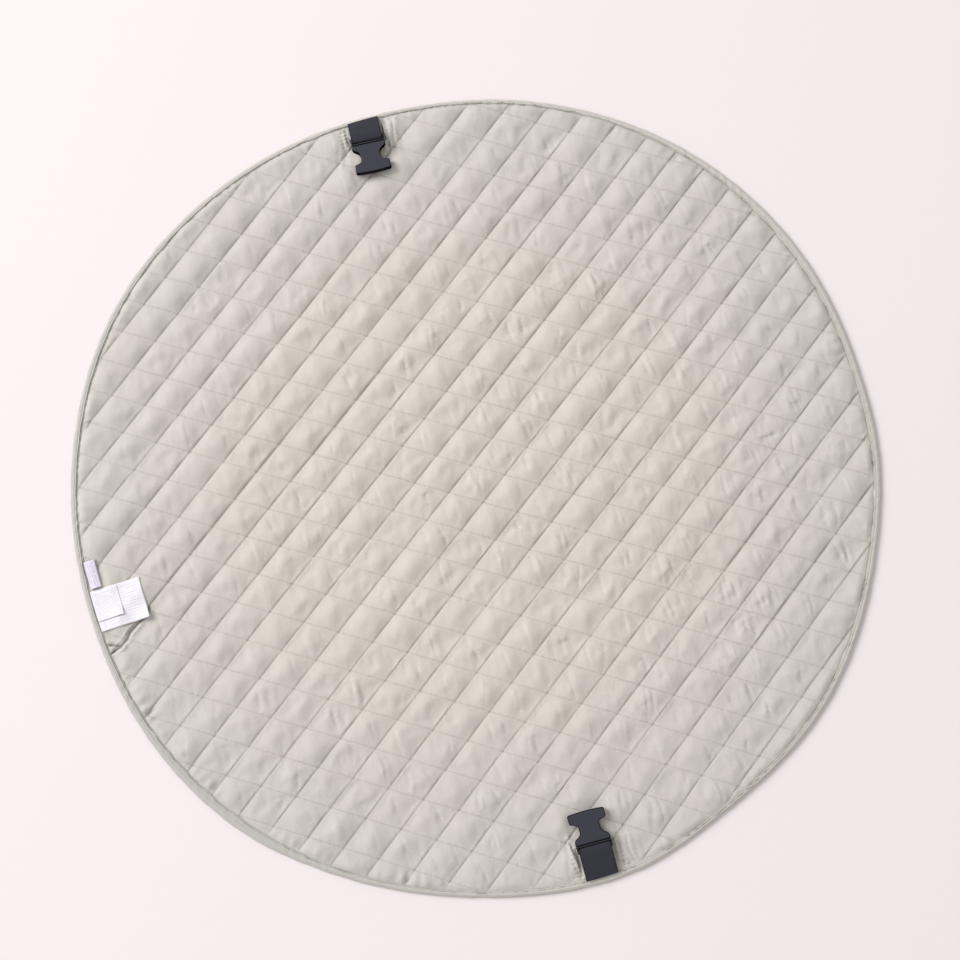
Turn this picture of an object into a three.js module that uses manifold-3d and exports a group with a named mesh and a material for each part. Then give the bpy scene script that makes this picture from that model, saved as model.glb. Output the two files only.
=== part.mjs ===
// Round quilted play mat with two side-release buckle halves, lying flat with its plain back up.
// Millimetres. The origin is the middle of the mat on the floor, +Z is up, and +Y points to the
// upper buckle. Azimuths are degrees from +X, counterclockwise seen from above.
import * as THREE from 'three';
import { mergeVertices } from 'three/addons/utils/BufferGeometryUtils.js';
import Module from 'manifold-3d';

const wasm = await Module();
wasm.setup();

// Pieces that touch are kept this far apart.
const GAP = 0.3;

// The rim: outer radius of the mat and width of the binding's upper leg, read off the photograph
// at the places where the rim bulges out or draws in.
const RIM = [
  { at: 0, radius: 490, binding: 9 },
  { at: 20, radius: 497, binding: 10.5 },
  { at: 42, radius: 499, binding: 8.5 },
  { at: 65, radius: 494, binding: 7 },
  { at: 85, radius: 489, binding: 6 },
  { at: 110, radius: 495, binding: 7.5 },
  { at: 138, radius: 500, binding: 8.5 },
  { at: 160, radius: 495, binding: 8.5 },
  { at: 182, radius: 492, binding: 8 },
  { at: 205, radius: 497, binding: 11.5 },
  { at: 219, radius: 498, binding: 12.5 },
  { at: 232, radius: 492, binding: 8.5 },
  { at: 252, radius: 488.5, binding: 7 },
  { at: 274, radius: 495, binding: 8 },
  { at: 290, radius: 487.5, binding: 6 },
  { at: 310, radius: 492.5, binding: 8 },
  { at: 332, radius: 488.5, binding: 8.5 },
  { at: 347, radius: 491, binding: 9.5 },
];
const RIM_STEPS = 120;

// Binding: a folded tape that grips the rim between an upper and a lower leg.
const TAPE = 1.2;
const BINDING_HEIGHT = 6.4;
const LOWER_LEG = 11;
const TAPE_FOLD = 1.5;
const EDGE_ROUND = { inset: 2.2, start: 0.6, rise: 0.9 };

// Quilting: two families of seams, each leaning this far from the X axis, one pitch apart.
// A family's shift places its seams at the middle of the mat, and its bows, in millimetres at
// BOW_REACH from the middle, bend the seams as the cloth was fed. The first family is drawn in
// all the way down, and the second only SHALLOW_SHARE of it, on top of the first one's rolls.
const QUILT_PITCH = 40;
const QUILT_LEAN = THREE.MathUtils.degToRad(34.3);
const BOW_REACH = 500;
const SEAMS = [
  { across: [Math.sin(QUILT_LEAN), -Math.cos(QUILT_LEAN)], shift: 21.3, x: 0, y: 0, xx: 0, xxx: 3, yyy: 9 },
  { across: [-Math.sin(QUILT_LEAN), -Math.cos(QUILT_LEAN)], shift: 21, x: 4, y: -6, xx: 2.5, xxx: 0, yyy: 7 },
];
const CELL_SPLITS = 3;
const SEAM_TOP = 4.2;
const PUFF = 6.2;
const PUFF_ROUNDNESS = 0.6;
const SHALLOW_SHARE = 0.6;
const PUFF_UNEVENNESS = 0.08;

// The quilt at the rim: how far in the puffs reach full height, and the clear strip that the
// lattice leaves along the binding.
const RIM_FADE = 16;
const RIM_STRIP = 4;

// Where straps and labels are sewn in, the puffs lie lower for a longer way in.
const SEWN_FADE = 40;
const SEWN_IN = [
  { at: 90, spread: 4 },
  { at: 180, spread: 8 },
  { at: 270, spread: 4 },
];

// The tuck in the seam below the care label.
const TUCK = { x: -459, y: -48, reach: 26, depth: 1.2 };

// Buckles, each placed by the middle of its webbing slot and by the azimuth that its mouth faces.
const BUCKLES = [
  { name: 'upper', x: -0.7, y: 450.4, faces: -94.6 },
  { name: 'lower', x: 0.9, y: -445.7, faces: 87.4 },
];
const BUCKLE = {
  thick: 9, edge: 0.8,
  back: -9.8, mouth: 36.4, mouthCrown: 1.2,
  ear: 21.1, earEnd: 2.8,
  shoulder: 18.6, shoulderEnd: 7.6,
  waist: 12.4, waistStart: 15.5, waistEnd: 18,
  head: 22, headStart: 25,
  corner: 2,
};
const SLOT = { half: 19.8, front: 1.2 };
const RIDGE = { back: -1.8, front: -0.8, low: 4.4, high: 7.8 };
const BAR = { back: -9, front: -5.6, low: 2.6, high: 6.2 };
const POCKET = { half: 17.5, back: 10, wall: 1.8 };

// Webbing loop round each buckle's bar.
const WEBBING = { width: 38.8, thick: 1.4, bend: 1.5, seamHeight: 7.3, level: -12.5 };

// Labels, sewn into the binding's seam near azimuth 180.
const LABEL_THICK = 1;
const CARE_LABEL = { low: -34.3, high: 16.2, end: -422, rise: 22, start: 5.5, top: 10.5 };
const CARE_LEAF = { low: -21.5, high: 14.5, end: -450.5 };
const LOOP_LABEL = { low: 18.6, high: 52.6, length: 14, start: 5.6, lift: 1.7, mouth: 0.8 };

const CLOTH_COLOUR = 0xcdc8bf;
const TAPE_COLOUR = 0xc4c0b5;
const WEBBING_COLOUR = 0x3a3d48;
const PLASTIC_COLOUR = 0x3c3e47;
const LABEL_COLOUR = 0xf1eef2;
const LOOP_COLOUR = 0xe6dfee;

const smooth = (t) => THREE.MathUtils.smoothstep(t, 0, 1);

// Value of one RIM column at an azimuth, on a smooth closed curve through the rows.
function rimValue(column, degrees) {
  const at = THREE.MathUtils.euclideanModulo(degrees, 360);
  const count = RIM.length;
  const row = (k) => {
    const turns = Math.floor(k / count);
    const { at: place, [column]: value } = RIM[k - turns * count];
    return { at: place + 360 * turns, value };
  };
  const next = RIM.findIndex((entry) => entry.at > at);
  const k = next < 0 ? count : next;
  const [before, from, to, after] = [row(k - 2), row(k - 1), row(k), row(k + 1)];
  const span = to.at - from.at;
  const t = (at - from.at) / span;
  const slopeFrom = (span * (to.value - before.value)) / (to.at - before.at);
  const slopeTo = (span * (after.value - from.value)) / (after.at - from.at);
  const rise = smooth(t);
  return from.value * (1 - rise) + to.value * rise
    + slopeFrom * t * (1 - t) ** 2 - slopeTo * t ** 2 * (1 - t);
}

function azimuth(x, y) {
  return THREE.MathUtils.radToDeg(Math.atan2(y, x));
}

// Distance of a point inside the binding's inner edge.
function insideBinding(x, y) {
  const at = azimuth(x, y);
  return rimValue('radius', at) - rimValue('binding', at) - Math.hypot(x, y);
}

// How many pitches a point lies across a family of seams, which run where it is a whole number.
function seamPhase(family, x, y) {
  const u = x / BOW_REACH;
  const v = y / BOW_REACH;
  const bow = family.x * u + family.y * v + family.xx * u * u + family.xxx * u ** 3 + family.yyy * v ** 3;
  return (family.across[0] * x + family.across[1] * y + family.shift + bow) / QUILT_PITCH;
}

// The point where two seam phases meet, found by stepping along the straight lattice.
function latticePoint(i, j) {
  const [first, second] = SEAMS;
  const turn = first.across[0] * second.across[1] - first.across[1] * second.across[0];
  let x = 0;
  let y = 0;
  for (let pass = 0; pass < 6; pass++) {
    const a = (i - seamPhase(first, x, y)) * QUILT_PITCH;
    const b = (j - seamPhase(second, x, y)) * QUILT_PITCH;
    x += (a * second.across[1] - b * first.across[1]) / turn;
    y += (b * first.across[0] - a * second.across[0]) / turn;
  }
  return { x, y };
}

// A repeatable number from -1 to 1 for each cell of the quilting.
function uneven(i, j) {
  const wave = Math.sin(i * 12.9898 + j * 78.233) * 43758.5453;
  return 2 * (wave - Math.floor(wave)) - 1;
}

// How far in from the binding the puffs reach full height at an azimuth.
function fadeWidth(degrees) {
  let sewn = 0;
  for (const { at, spread } of SEWN_IN) {
    const off = THREE.MathUtils.euclideanModulo(degrees - at + 180, 360) - 180;
    sewn = Math.max(sewn, Math.exp(-((off / spread) ** 4)));
  }
  return THREE.MathUtils.lerp(RIM_FADE, SEWN_FADE, sewn);
}

// Height of the quilt's upper face at a point of the lattice.
function quiltHeight(i, j, x, y) {
  const s = i - Math.floor(i + 1e-6);
  const t = j - Math.floor(j + 1e-6);
  const roll = Math.max(0, Math.sin(Math.PI * s)) ** PUFF_ROUNDNESS;
  const dip = 1 - Math.max(0, Math.sin(Math.PI * t)) ** PUFF_ROUNDNESS;
  const round = roll * (1 - SHALLOW_SHARE * dip);
  const puff = PUFF * (1 + PUFF_UNEVENNESS * uneven(Math.floor(i), Math.floor(j)));
  const fade = smooth(insideBinding(x, y) / fadeWidth(azimuth(x, y)));
  const tuck = TUCK.depth * Math.exp(-(((x - TUCK.x) ** 2 + (y - TUCK.y) ** 2) / TUCK.reach ** 2));
  return SEAM_TOP + puff * round * fade - tuck;
}

// Points and triangles of one closed body, shared by index.
class Body {
  constructor() {
    this.points = [];
    this.faces = [];
  }
  point(x, y, z) {
    this.points.push(x, y, z);
    return this.points.length / 3 - 1;
  }
  triangle(a, b, c) {
    this.faces.push(a, b, c);
  }
  // Two rings of the same length, joined by a band that faces right of the way from low to high.
  band(low, high) {
    low.forEach((a, k) => {
      const b = low[(k + 1) % low.length];
      const c = high[(k + 1) % high.length];
      this.triangle(a, b, c);
      this.triangle(a, c, high[k]);
    });
  }
  // A ring of the rim at an inset from the outline, which may be a function of the azimuth.
  rimRing(inset, z) {
    const ring = [];
    for (let k = 0; k < RIM_STEPS; k++) {
      const degrees = (360 * k) / RIM_STEPS;
      const r = rimValue('radius', degrees) - (typeof inset === 'function' ? inset(degrees) : inset);
      const a = THREE.MathUtils.degToRad(degrees);
      ring.push(this.point(r * Math.cos(a), r * Math.sin(a), z));
    }
    return ring;
  }
  // Fills the region inside a ring, and outside a second one if there is one, seen from above.
  cap(ring, hole, facesUp) {
    const flat = (list) => list.map((k) => new THREE.Vector2(this.points[3 * k], this.points[3 * k + 1]));
    const all = hole ? [...ring, ...hole] : ring;
    const spots = flat(all);
    for (const [a, b, c] of THREE.ShapeUtils.triangulateShape(flat(ring), hole ? [flat(hole)] : [])) {
      const up = THREE.ShapeUtils.area([spots[a], spots[b], spots[c]]) > 0;
      if (up === facesUp) this.triangle(all[a], all[b], all[c]);
      else this.triangle(all[a], all[c], all[b]);
    }
  }
  geometry() {
    const geometry = new THREE.BufferGeometry();
    geometry.setAttribute('position', new THREE.Float32BufferAttribute(this.points, 3));
    geometry.setIndex(this.faces);
    return geometry;
  }
}

function mesh(name, geometry, color, roughness) {
  const piece = new THREE.Mesh(geometry, new THREE.MeshStandardMaterial({ color, roughness, metalness: 0 }));
  piece.name = name;
  return piece;
}

// The quilted body: a flat underside, a stepped rim that sits in the binding, and an upper face
// whose points follow the quilting, cell by cell.
function quiltedPad() {
  const body = new Body();
  const underLeg = TAPE + GAP;
  const gripTop = BINDING_HEIGHT - TAPE - GAP;
  const floorRing = body.rimRing(LOWER_LEG + GAP, 0);
  const rings = [
    floorRing,
    body.rimRing(LOWER_LEG + GAP, underLeg),
    body.rimRing(TAPE_FOLD + GAP, underLeg),
    body.rimRing(TAPE_FOLD + GAP, gripTop),
    body.rimRing((degrees) => rimValue('binding', degrees) + GAP, gripTop),
  ];
  for (let k = 1; k < rings.length; k++) body.band(rings[k - 1], rings[k]);
  body.cap(floorRing, null, false);

  // Lattice points inside the rim strip, kept by their whole-number place.
  const reach = Math.ceil((RIM[0].radius * 1.3 * CELL_SPLITS) / QUILT_PITCH);
  const kept = new Map();
  const key = (m, n) => `${m},${n}`;
  for (let m = -reach; m <= reach; m++) {
    for (let n = -reach; n <= reach; n++) {
      const i = m / CELL_SPLITS;
      const j = n / CELL_SPLITS;
      const { x, y } = latticePoint(i, j);
      if (insideBinding(x, y) > RIM_STRIP) kept.set(key(m, n), { m, n, x, y, z: quiltHeight(i, j, x, y) });
    }
  }

  // Each small lattice cell with four kept corners becomes two triangles. Its sides run
  // clockwise in lattice order, because the two phases grow in opposite turns.
  const index = new Map();
  const use = (spot) => {
    const name = key(spot.m, spot.n);
    if (!index.has(name)) index.set(name, body.point(spot.x, spot.y, spot.z));
    return index.get(name);
  };
  const sides = new Map();
  for (const spot of kept.values()) {
    const ring = [[0, 0], [0, 1], [1, 1], [1, 0]].map(([dm, dn]) => kept.get(key(spot.m + dm, spot.n + dn)));
    if (ring.some((corner) => corner === undefined)) continue;
    const [a, b, c, d] = ring.map(use);
    const alongRise = ring[0].z + ring[2].z > ring[1].z + ring[3].z;
    if (alongRise) {
      body.triangle(a, b, c);
      body.triangle(a, c, d);
    } else {
      body.triangle(b, c, d);
      body.triangle(b, d, a);
    }
    for (const [from, to] of [[a, b], [b, c], [c, d], [d, a]]) {
      if (sides.get(to) && sides.get(to).has(from)) sides.get(to).delete(from);
      else sides.set(from, (sides.get(from) ?? new Set()).add(to));
    }
  }

  // The sides that only one cell uses make the lattice's border, walked once round.
  const open = new Map([...sides].filter(([, ends]) => ends.size > 0).map(([from, ends]) => [from, [...ends][0]]));
  const start = open.keys().next().value;
  const border = [];
  let at = start;
  do {
    border.push(at);
    at = open.get(at);
  } while (at !== start);
  body.cap(rings[rings.length - 1], border, true);
  return body.geometry();
}

// The folded tape round the rim.
function edgeBinding() {
  const body = new Body();
  const upper = (degrees) => rimValue('binding', degrees);
  const { inset, start, rise } = EDGE_ROUND;
  const section = [
    [LOWER_LEG, 0],
    [inset, 0],
    [start, rise],
    [0, 0.5 * BINDING_HEIGHT],
    [start, BINDING_HEIGHT - rise],
    [inset, BINDING_HEIGHT],
    [upper, BINDING_HEIGHT],
    [upper, BINDING_HEIGHT - TAPE],
    [TAPE_FOLD, BINDING_HEIGHT - TAPE],
    [TAPE_FOLD, TAPE],
    [LOWER_LEG, TAPE],
  ];
  const rings = section.map(([inset, z]) => body.rimRing(inset, z));
  rings.forEach((ring, k) => body.band(ring, rings[(k + 1) % rings.length]));
  return body.geometry();
}

// Closed outline of a strip of the given thickness along a line of points in one plane.
function stripOutline(line, thick) {
  const left = [];
  const right = [];
  line.forEach((spot, k) => {
    const before = line[Math.max(0, k - 1)];
    const after = line[Math.min(line.length - 1, k + 1)];
    const along = after.clone().sub(before).normalize();
    const side = new THREE.Vector2(-along.y, along.x).multiplyScalar(thick / 2);
    left.push(spot.clone().add(side));
    right.push(spot.clone().sub(side));
  });
  return new THREE.Shape([...left, ...right.reverse()]);
}

// Points of an arc in a plane, from one angle to another in degrees.
function arcPoints(x, y, r, from, to, steps) {
  return Array.from({ length: steps + 1 }, (_, k) => {
    const a = THREE.MathUtils.degToRad(THREE.MathUtils.lerp(from, to, k / steps));
    return new THREE.Vector2(x + r * Math.cos(a), y + r * Math.sin(a));
  });
}

// A strip outline drawn in (along, up), drawn out sideways and centred.
function sidewaysStrip(outline, width) {
  const geometry = new THREE.ExtrudeGeometry(outline, { depth: width, steps: 1, bevelEnabled: false });
  geometry.translate(0, 0, -width / 2);
  geometry.rotateX(Math.PI / 2);
  geometry.rotateZ(Math.PI / 2);
  return geometry;
}

// Webbing from the binding's seam, over the bar, down through the slot and back, drawn in the
// buckle's own frame: y towards the mouth from the slot, z up from the buckle's underside.
function webbingLoop(seam, seamZ) {
  const { thick, bend, level } = WEBBING;
  const overBar = BAR.high + GAP + thick / 2;
  const underBar = BAR.low - GAP - thick / 2;
  const front = BAR.front + GAP + thick / 2;
  const apart = thick + GAP;
  const line = [
    new THREE.Vector2(seam, seamZ + apart / 2),
    new THREE.Vector2(0.5 * (seam + level), 0.45 * (seamZ + apart / 2) + 0.55 * overBar),
    new THREE.Vector2(level, overBar),
    ...arcPoints(front - bend, overBar - bend, bend, 90, 0, 3),
    ...arcPoints(front - bend, underBar + bend, bend, 0, -90, 3),
    new THREE.Vector2(level, underBar),
    new THREE.Vector2(0.5 * (seam + level), 0.5 * (seamZ - apart / 2) + 0.5 * underBar),
    new THREE.Vector2(seam, seamZ - apart / 2),
  ];
  return sidewaysStrip(stripOutline(line, thick), WEBBING.width);
}

// A closed three.js geometry as a solid for cutting, and back.
function toSolid(geometry) {
  const bare = geometry.clone();
  bare.deleteAttribute('normal');
  bare.deleteAttribute('uv');
  const merged = mergeVertices(bare, 1e-4);
  return new wasm.Manifold(new wasm.Mesh({
    numProp: 3,
    vertProperties: new Float32Array(merged.attributes.position.array),
    triVerts: new Uint32Array(merged.index.array),
  }));
}

function fromSolid(solid) {
  const { vertProperties, triVerts } = solid.getMesh();
  const geometry = new THREE.BufferGeometry();
  geometry.setAttribute('position', new THREE.BufferAttribute(vertProperties, 3));
  geometry.setIndex(new THREE.BufferAttribute(triVerts, 1));
  return geometry;
}

function box(low, high) {
  const geometry = new THREE.BoxGeometry(high[0] - low[0], high[1] - low[1], high[2] - low[2]);
  geometry.translate((low[0] + high[0]) / 2, (low[1] + high[1]) / 2, (low[2] + high[2]) / 2);
  return toSolid(geometry);
}

// Plan of the buckle half: ears by the webbing, a waist for the prongs and a wide head.
function bucklePlan() {
  const b = BUCKLE;
  const right = new THREE.Path();
  right.moveTo(b.ear - b.corner, b.back);
  right.quadraticCurveTo(b.ear, b.back, b.ear, b.back + b.corner);
  right.lineTo(b.ear, b.earEnd);
  right.quadraticCurveTo(b.ear - 0.3, b.shoulderEnd - 1.4, b.shoulder, b.shoulderEnd);
  right.bezierCurveTo(b.shoulder - 3.4, b.shoulderEnd + 1.4, b.waist, b.waistStart - 4, b.waist, b.waistStart);
  right.lineTo(b.waist, b.waistEnd);
  right.bezierCurveTo(b.waist, b.waistEnd + 5, b.waist + 2, b.headStart - 1, b.head - b.corner, b.headStart);
  right.quadraticCurveTo(b.head, b.headStart, b.head, b.headStart + b.corner);
  right.lineTo(b.head + 0.3, b.mouth - b.corner);
  right.quadraticCurveTo(b.head, b.mouth, b.head - b.corner, b.mouth + 0.2);
  right.quadraticCurveTo(b.head / 2, b.mouth + b.mouthCrown, 0, b.mouth + b.mouthCrown);
  const side = right.getPoints(4);
  const mirrored = side.slice(0, -1).reverse().map((p) => new THREE.Vector2(-p.x, p.y));
  return new THREE.Shape([...side, ...mirrored]);
}

// The buckle half: bevelled plan, webbing slot with its bar and a thin ridge in front of it, and
// the pocket for the prongs, which opens at the mouth and at both sides of the waist.
function buckleBody() {
  const b = BUCKLE;
  const plan = new THREE.ExtrudeGeometry(bucklePlan(), {
    depth: b.thick - 2 * b.edge, steps: 1, bevelEnabled: true,
    bevelThickness: b.edge, bevelSize: b.edge, bevelOffset: -b.edge, bevelSegments: 1,
  });
  plan.translate(0, 0, b.edge);
  const past = 5;
  const slot = box([-SLOT.half, b.back - past, -past], [SLOT.half, SLOT.front, b.thick + past]);
  const bar = box([-SLOT.half - 1, BAR.back, BAR.low], [SLOT.half + 1, BAR.front, BAR.high]);
  const ridge = box([-SLOT.half - 1, RIDGE.back, RIDGE.low], [SLOT.half + 1, RIDGE.front, RIDGE.high]);
  const pocket = box(
    [-POCKET.half, POCKET.back, POCKET.wall],
    [POCKET.half, b.mouth + past, b.thick - POCKET.wall],
  );
  return fromSolid(toSolid(plan).subtract(slot).add(bar).add(ridge).subtract(pocket));
}

// A thin sheet over a grid of places, thickened upwards. place(u, v) gives the underside.
function gridSheet(place, across, along, thick) {
  const body = new Body();
  const layers = [0, thick].map((lift) => Array.from({ length: across + 1 }, (_, m) => (
    Array.from({ length: along + 1 }, (__, n) => {
      const spot = place(m / across, n / along);
      return body.point(spot.x, spot.y, spot.z + lift);
    }))));
  const [low, high] = layers;
  for (let m = 0; m < across; m++) {
    for (let n = 0; n < along; n++) {
      body.triangle(high[m][n], high[m + 1][n], high[m + 1][n + 1]);
      body.triangle(high[m][n], high[m + 1][n + 1], high[m][n + 1]);
      body.triangle(low[m][n], low[m + 1][n + 1], low[m + 1][n]);
      body.triangle(low[m][n], low[m][n + 1], low[m + 1][n + 1]);
    }
  }
  const rim = (layer) => [
    ...layer.map((row) => row[0]).slice(0, -1),
    ...layer[across].slice(0, -1),
    ...layer.map((row) => row[along]).reverse().slice(0, -1),
    ...[...layer[0]].reverse().slice(0, -1),
  ];
  body.band(rim(low), rim(high));
  return body.geometry();
}

// The binding's inner edge on the left side, at a given y, less the gap.
function leftSeam(y) {
  let x = -480;
  for (let pass = 0; pass < 4; pass++) x -= insideBinding(x, y) - GAP;
  return x;
}

// Height of a label's underside: it leaves the seam low and rises onto the puffs.
function labelHeight(x, y) {
  const { start, top, rise } = CARE_LABEL;
  return THREE.MathUtils.lerp(start, top, smooth((x - leftSeam(y)) / rise));
}

// A label leaf from the seam to its free end, lifted above the one below it.
function labelLeaf({ low, high, end }, lift) {
  return gridSheet((u, v) => {
    const y = THREE.MathUtils.lerp(low, high, v);
    const x = THREE.MathUtils.lerp(leftSeam(y), end, u);
    return { x, y, z: labelHeight(x, y) + lift };
  }, 10, 6, LABEL_THICK);
}

// The small folded label: two layers from the seam with the fold at their free end.
function loopLabel() {
  const { low, high, length, start, lift, mouth } = LOOP_LABEL;
  const half = (LABEL_THICK + mouth) / 2;
  const first = start + LABEL_THICK / 2;
  const line = [
    new THREE.Vector2(0, first),
    new THREE.Vector2(length / 2, first + 0.4 * lift),
    new THREE.Vector2(length - half, first + lift),
    ...arcPoints(length - half, first + lift + half, half, -45, 45, 2),
    new THREE.Vector2(length - half, first + lift + 2 * half),
    new THREE.Vector2(length / 2, first + 0.9 * lift + 2 * half),
    new THREE.Vector2(0, first + LABEL_THICK + GAP),
  ];
  const geometry = sidewaysStrip(stripOutline(line, LABEL_THICK), high - low);
  geometry.rotateZ(-Math.PI / 2);
  const seam = Math.max(leftSeam(low), leftSeam((low + high) / 2), leftSeam(high));
  geometry.translate(seam, (low + high) / 2, 0);
  return geometry;
}

// The highest point of a geometry under a circle, for what rests on it.
function highestUnder(geometry, x, y, reach) {
  const spots = geometry.attributes.position;
  let top = 0;
  for (let k = 0; k < spots.count; k++) {
    if (Math.hypot(spots.getX(k) - x, spots.getY(k) - y) < reach) top = Math.max(top, spots.getZ(k));
  }
  return top;
}

// A buckle half and its webbing, resting on the quilt.
function buckleAssembly({ name, x, y, faces }, pad) {
  const group = new THREE.Group();
  const turn = THREE.MathUtils.degToRad(faces - 90);
  const middle = (BUCKLE.back + BUCKLE.mouth) / 2;
  const ahead = new THREE.Vector2(0, middle).rotateAround(new THREE.Vector2(), turn);
  const rest = highestUnder(pad, x + ahead.x, y + ahead.y, BUCKLE.mouth) + GAP;
  group.position.set(x, y, rest);
  group.rotation.z = turn;

  // The webbing ends at the binding: its nearest corner sets how long it is.
  const corners = [-0.5, 0, 0.5].map((side) => {
    const spot = new THREE.Vector2(side * WEBBING.width, 0).rotateAround(new THREE.Vector2(), turn);
    const back = new THREE.Vector2(0, -1).rotateAround(new THREE.Vector2(), turn);
    let out = 0;
    for (let pass = 0; pass < 4; pass++) {
      out += insideBinding(x + spot.x + out * back.x, y + spot.y + out * back.y) - GAP;
    }
    return out;
  });
  const seam = -Math.min(...corners);
  group.add(mesh(`webbing_${name}`, webbingLoop(seam, WEBBING.seamHeight - rest), WEBBING_COLOUR, 0.85));
  group.add(mesh(`buckle_${name}`, buckleBody(), PLASTIC_COLOUR, 0.4));
  return group;
}

const mat = new THREE.Group();
const padGeometry = quiltedPad();
mat.add(mesh('quilted_pad', padGeometry, CLOTH_COLOUR, 0.95));
mat.add(mesh('edge_binding', edgeBinding(), TAPE_COLOUR, 0.95));
for (const place of BUCKLES) mat.add(buckleAssembly(place, padGeometry));
mat.add(mesh('care_label', labelLeaf(CARE_LABEL, 0), LABEL_COLOUR, 0.8));
mat.add(mesh('care_label_leaf', labelLeaf(CARE_LEAF, LABEL_THICK + GAP), LABEL_COLOUR, 0.8));
mat.add(mesh('loop_label', loopLabel(), LOOP_COLOUR, 0.7));

export default mat;
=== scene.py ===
# A round quilted play mat that lies on a pale floor with its plain back up.
# Shapes are worked out in millimetres and become metres when a piece is finished. The origin is
# the middle of the mat on the floor, +Z is up and +Y points to the upper buckle. Azimuths are
# degrees from +X, counterclockwise seen from above.
import bpy
import bmesh
import math
import numpy as np
from mathutils import Matrix, Vector
from mathutils.bvhtree import BVHTree
from types import SimpleNamespace as Row


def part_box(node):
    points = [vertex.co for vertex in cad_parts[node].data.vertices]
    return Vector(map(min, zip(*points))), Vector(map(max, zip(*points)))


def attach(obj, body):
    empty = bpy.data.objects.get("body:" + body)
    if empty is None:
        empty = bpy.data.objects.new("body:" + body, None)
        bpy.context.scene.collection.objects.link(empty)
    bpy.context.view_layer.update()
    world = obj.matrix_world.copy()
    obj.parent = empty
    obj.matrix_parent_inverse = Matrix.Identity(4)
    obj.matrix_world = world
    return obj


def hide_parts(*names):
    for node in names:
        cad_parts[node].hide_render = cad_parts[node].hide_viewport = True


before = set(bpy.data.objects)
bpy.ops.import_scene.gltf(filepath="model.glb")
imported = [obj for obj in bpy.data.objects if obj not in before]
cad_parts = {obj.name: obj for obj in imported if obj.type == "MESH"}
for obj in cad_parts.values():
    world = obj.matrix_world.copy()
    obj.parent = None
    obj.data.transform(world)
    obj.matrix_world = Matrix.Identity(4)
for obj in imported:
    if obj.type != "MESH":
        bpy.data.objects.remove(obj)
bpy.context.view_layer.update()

MM = 0.001

# The rim: outer radius of the mat and width of the binding's upper leg.
RIM = (
    # azimuth, radius, binding
    (0, 490, 9),
    (20, 497, 10.5),
    (42, 499, 8.5),
    (65, 494, 7),
    (85, 489, 6),
    (110, 495, 7.5),
    (138, 500, 8.5),
    (160, 495, 8.5),
    (182, 492, 8),
    (205, 497, 11.5),
    (219, 498, 12.5),
    (232, 492, 8.5),
    (252, 488.5, 7),
    (274, 495, 8),
    (290, 487.5, 6),
    (310, 492.5, 8),
    (332, 488.5, 8.5),
    (347, 491, 9.5),
)
RADIUS = 1
BINDING = 2

# The quilting: two families of seams, each leaning this far from the X axis, with their bow.
QUILT_PITCH = 40.0
QUILT_LEAN = math.radians(34.3)
BOW_REACH = 500.0
LATTICE_REACH = 14
DEEP_SEAMS = Row(
    across=(math.sin(QUILT_LEAN), -math.cos(QUILT_LEAN)), shift=21.3, x=0, y=0, xx=0, xxx=3, yyy=9,
)
SHALLOW_SEAMS = Row(
    across=(-math.sin(QUILT_LEAN), -math.cos(QUILT_LEAN)), shift=21.0, x=4, y=-6, xx=2.5, xxx=0, yyy=7,
)

# The upper cloth of the quilt: heights, and how its puffs fade toward the tape and the sewn ends.
SEAM_TOP = 4.2
PUFF = 6.2
PUFF_RISE = 0.0004
PUFF_LIMIT = 11.0
ROUNDNESS = 0.67
SHALLOW_SHARE = 0.66
RIDGE_FALL = 0.35
LOWEST = 2.0
RIM_TOP = 4.7
RIM_FADE = 5.0
SEWN_FADE = 30.0
SEWN_IN = ((90, 4), (180, 8), (270, 4))
TUCK = Row(x=-459, y=-48, reach=26, depth=1.2)
UNDER_GROOVE = 1.5

# How it billows and crumples: slack in the cloth, pressure from the wadding, and starting folds.
SLACK = 0.075
PRESSURE = 3.5
FOLDS = 0.16
CRUMPLE = 0.28
GATHERS = 0.5
STRAP_FOLDS = 1.2
SEAM_DRAW = 0.35
LOFT_SHARE = 0.10
SIM_FRAMES = 18

# Waves of the upper cloth: random seed, how many, the shortest and the longest.
DRAWN_WAVES = (31, 18, 90, 300)
LOFT_WAVES = (37, 24, 60, 200)
PATCH_WAVES = (11, 24, 40, 100)
FOLD_WAVES = (9, 24, 7, 15)
CRUMPLE_FACETS = (5, 14, 15, 42)
CROWD_WAVES = (17, 12, 60, 200)
GATHER_WAVES = (19, 14, 9, 17)

# Seams that are drawn in deeper than the rest: a deep seam's number and the shallow places that it
# runs between, then the painted shade along it and how much deeper it lies.
DRAWN_SEAMS = (
    Row(seam=-5, start=0.6, end=7.2, dark=0.9, depth=0.5),
    Row(seam=-4, start=-2.4, end=1.5, dark=0.9, depth=0.5),
    Row(seam=-1, start=-6.0, end=-2.0, dark=0.5, depth=0.3),
    Row(seam=8, start=-3.5, end=1.0, dark=0.8, depth=0.5),
    Row(seam=10, start=-1.0, end=3.0, dark=0.8, depth=0.5),
)
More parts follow.
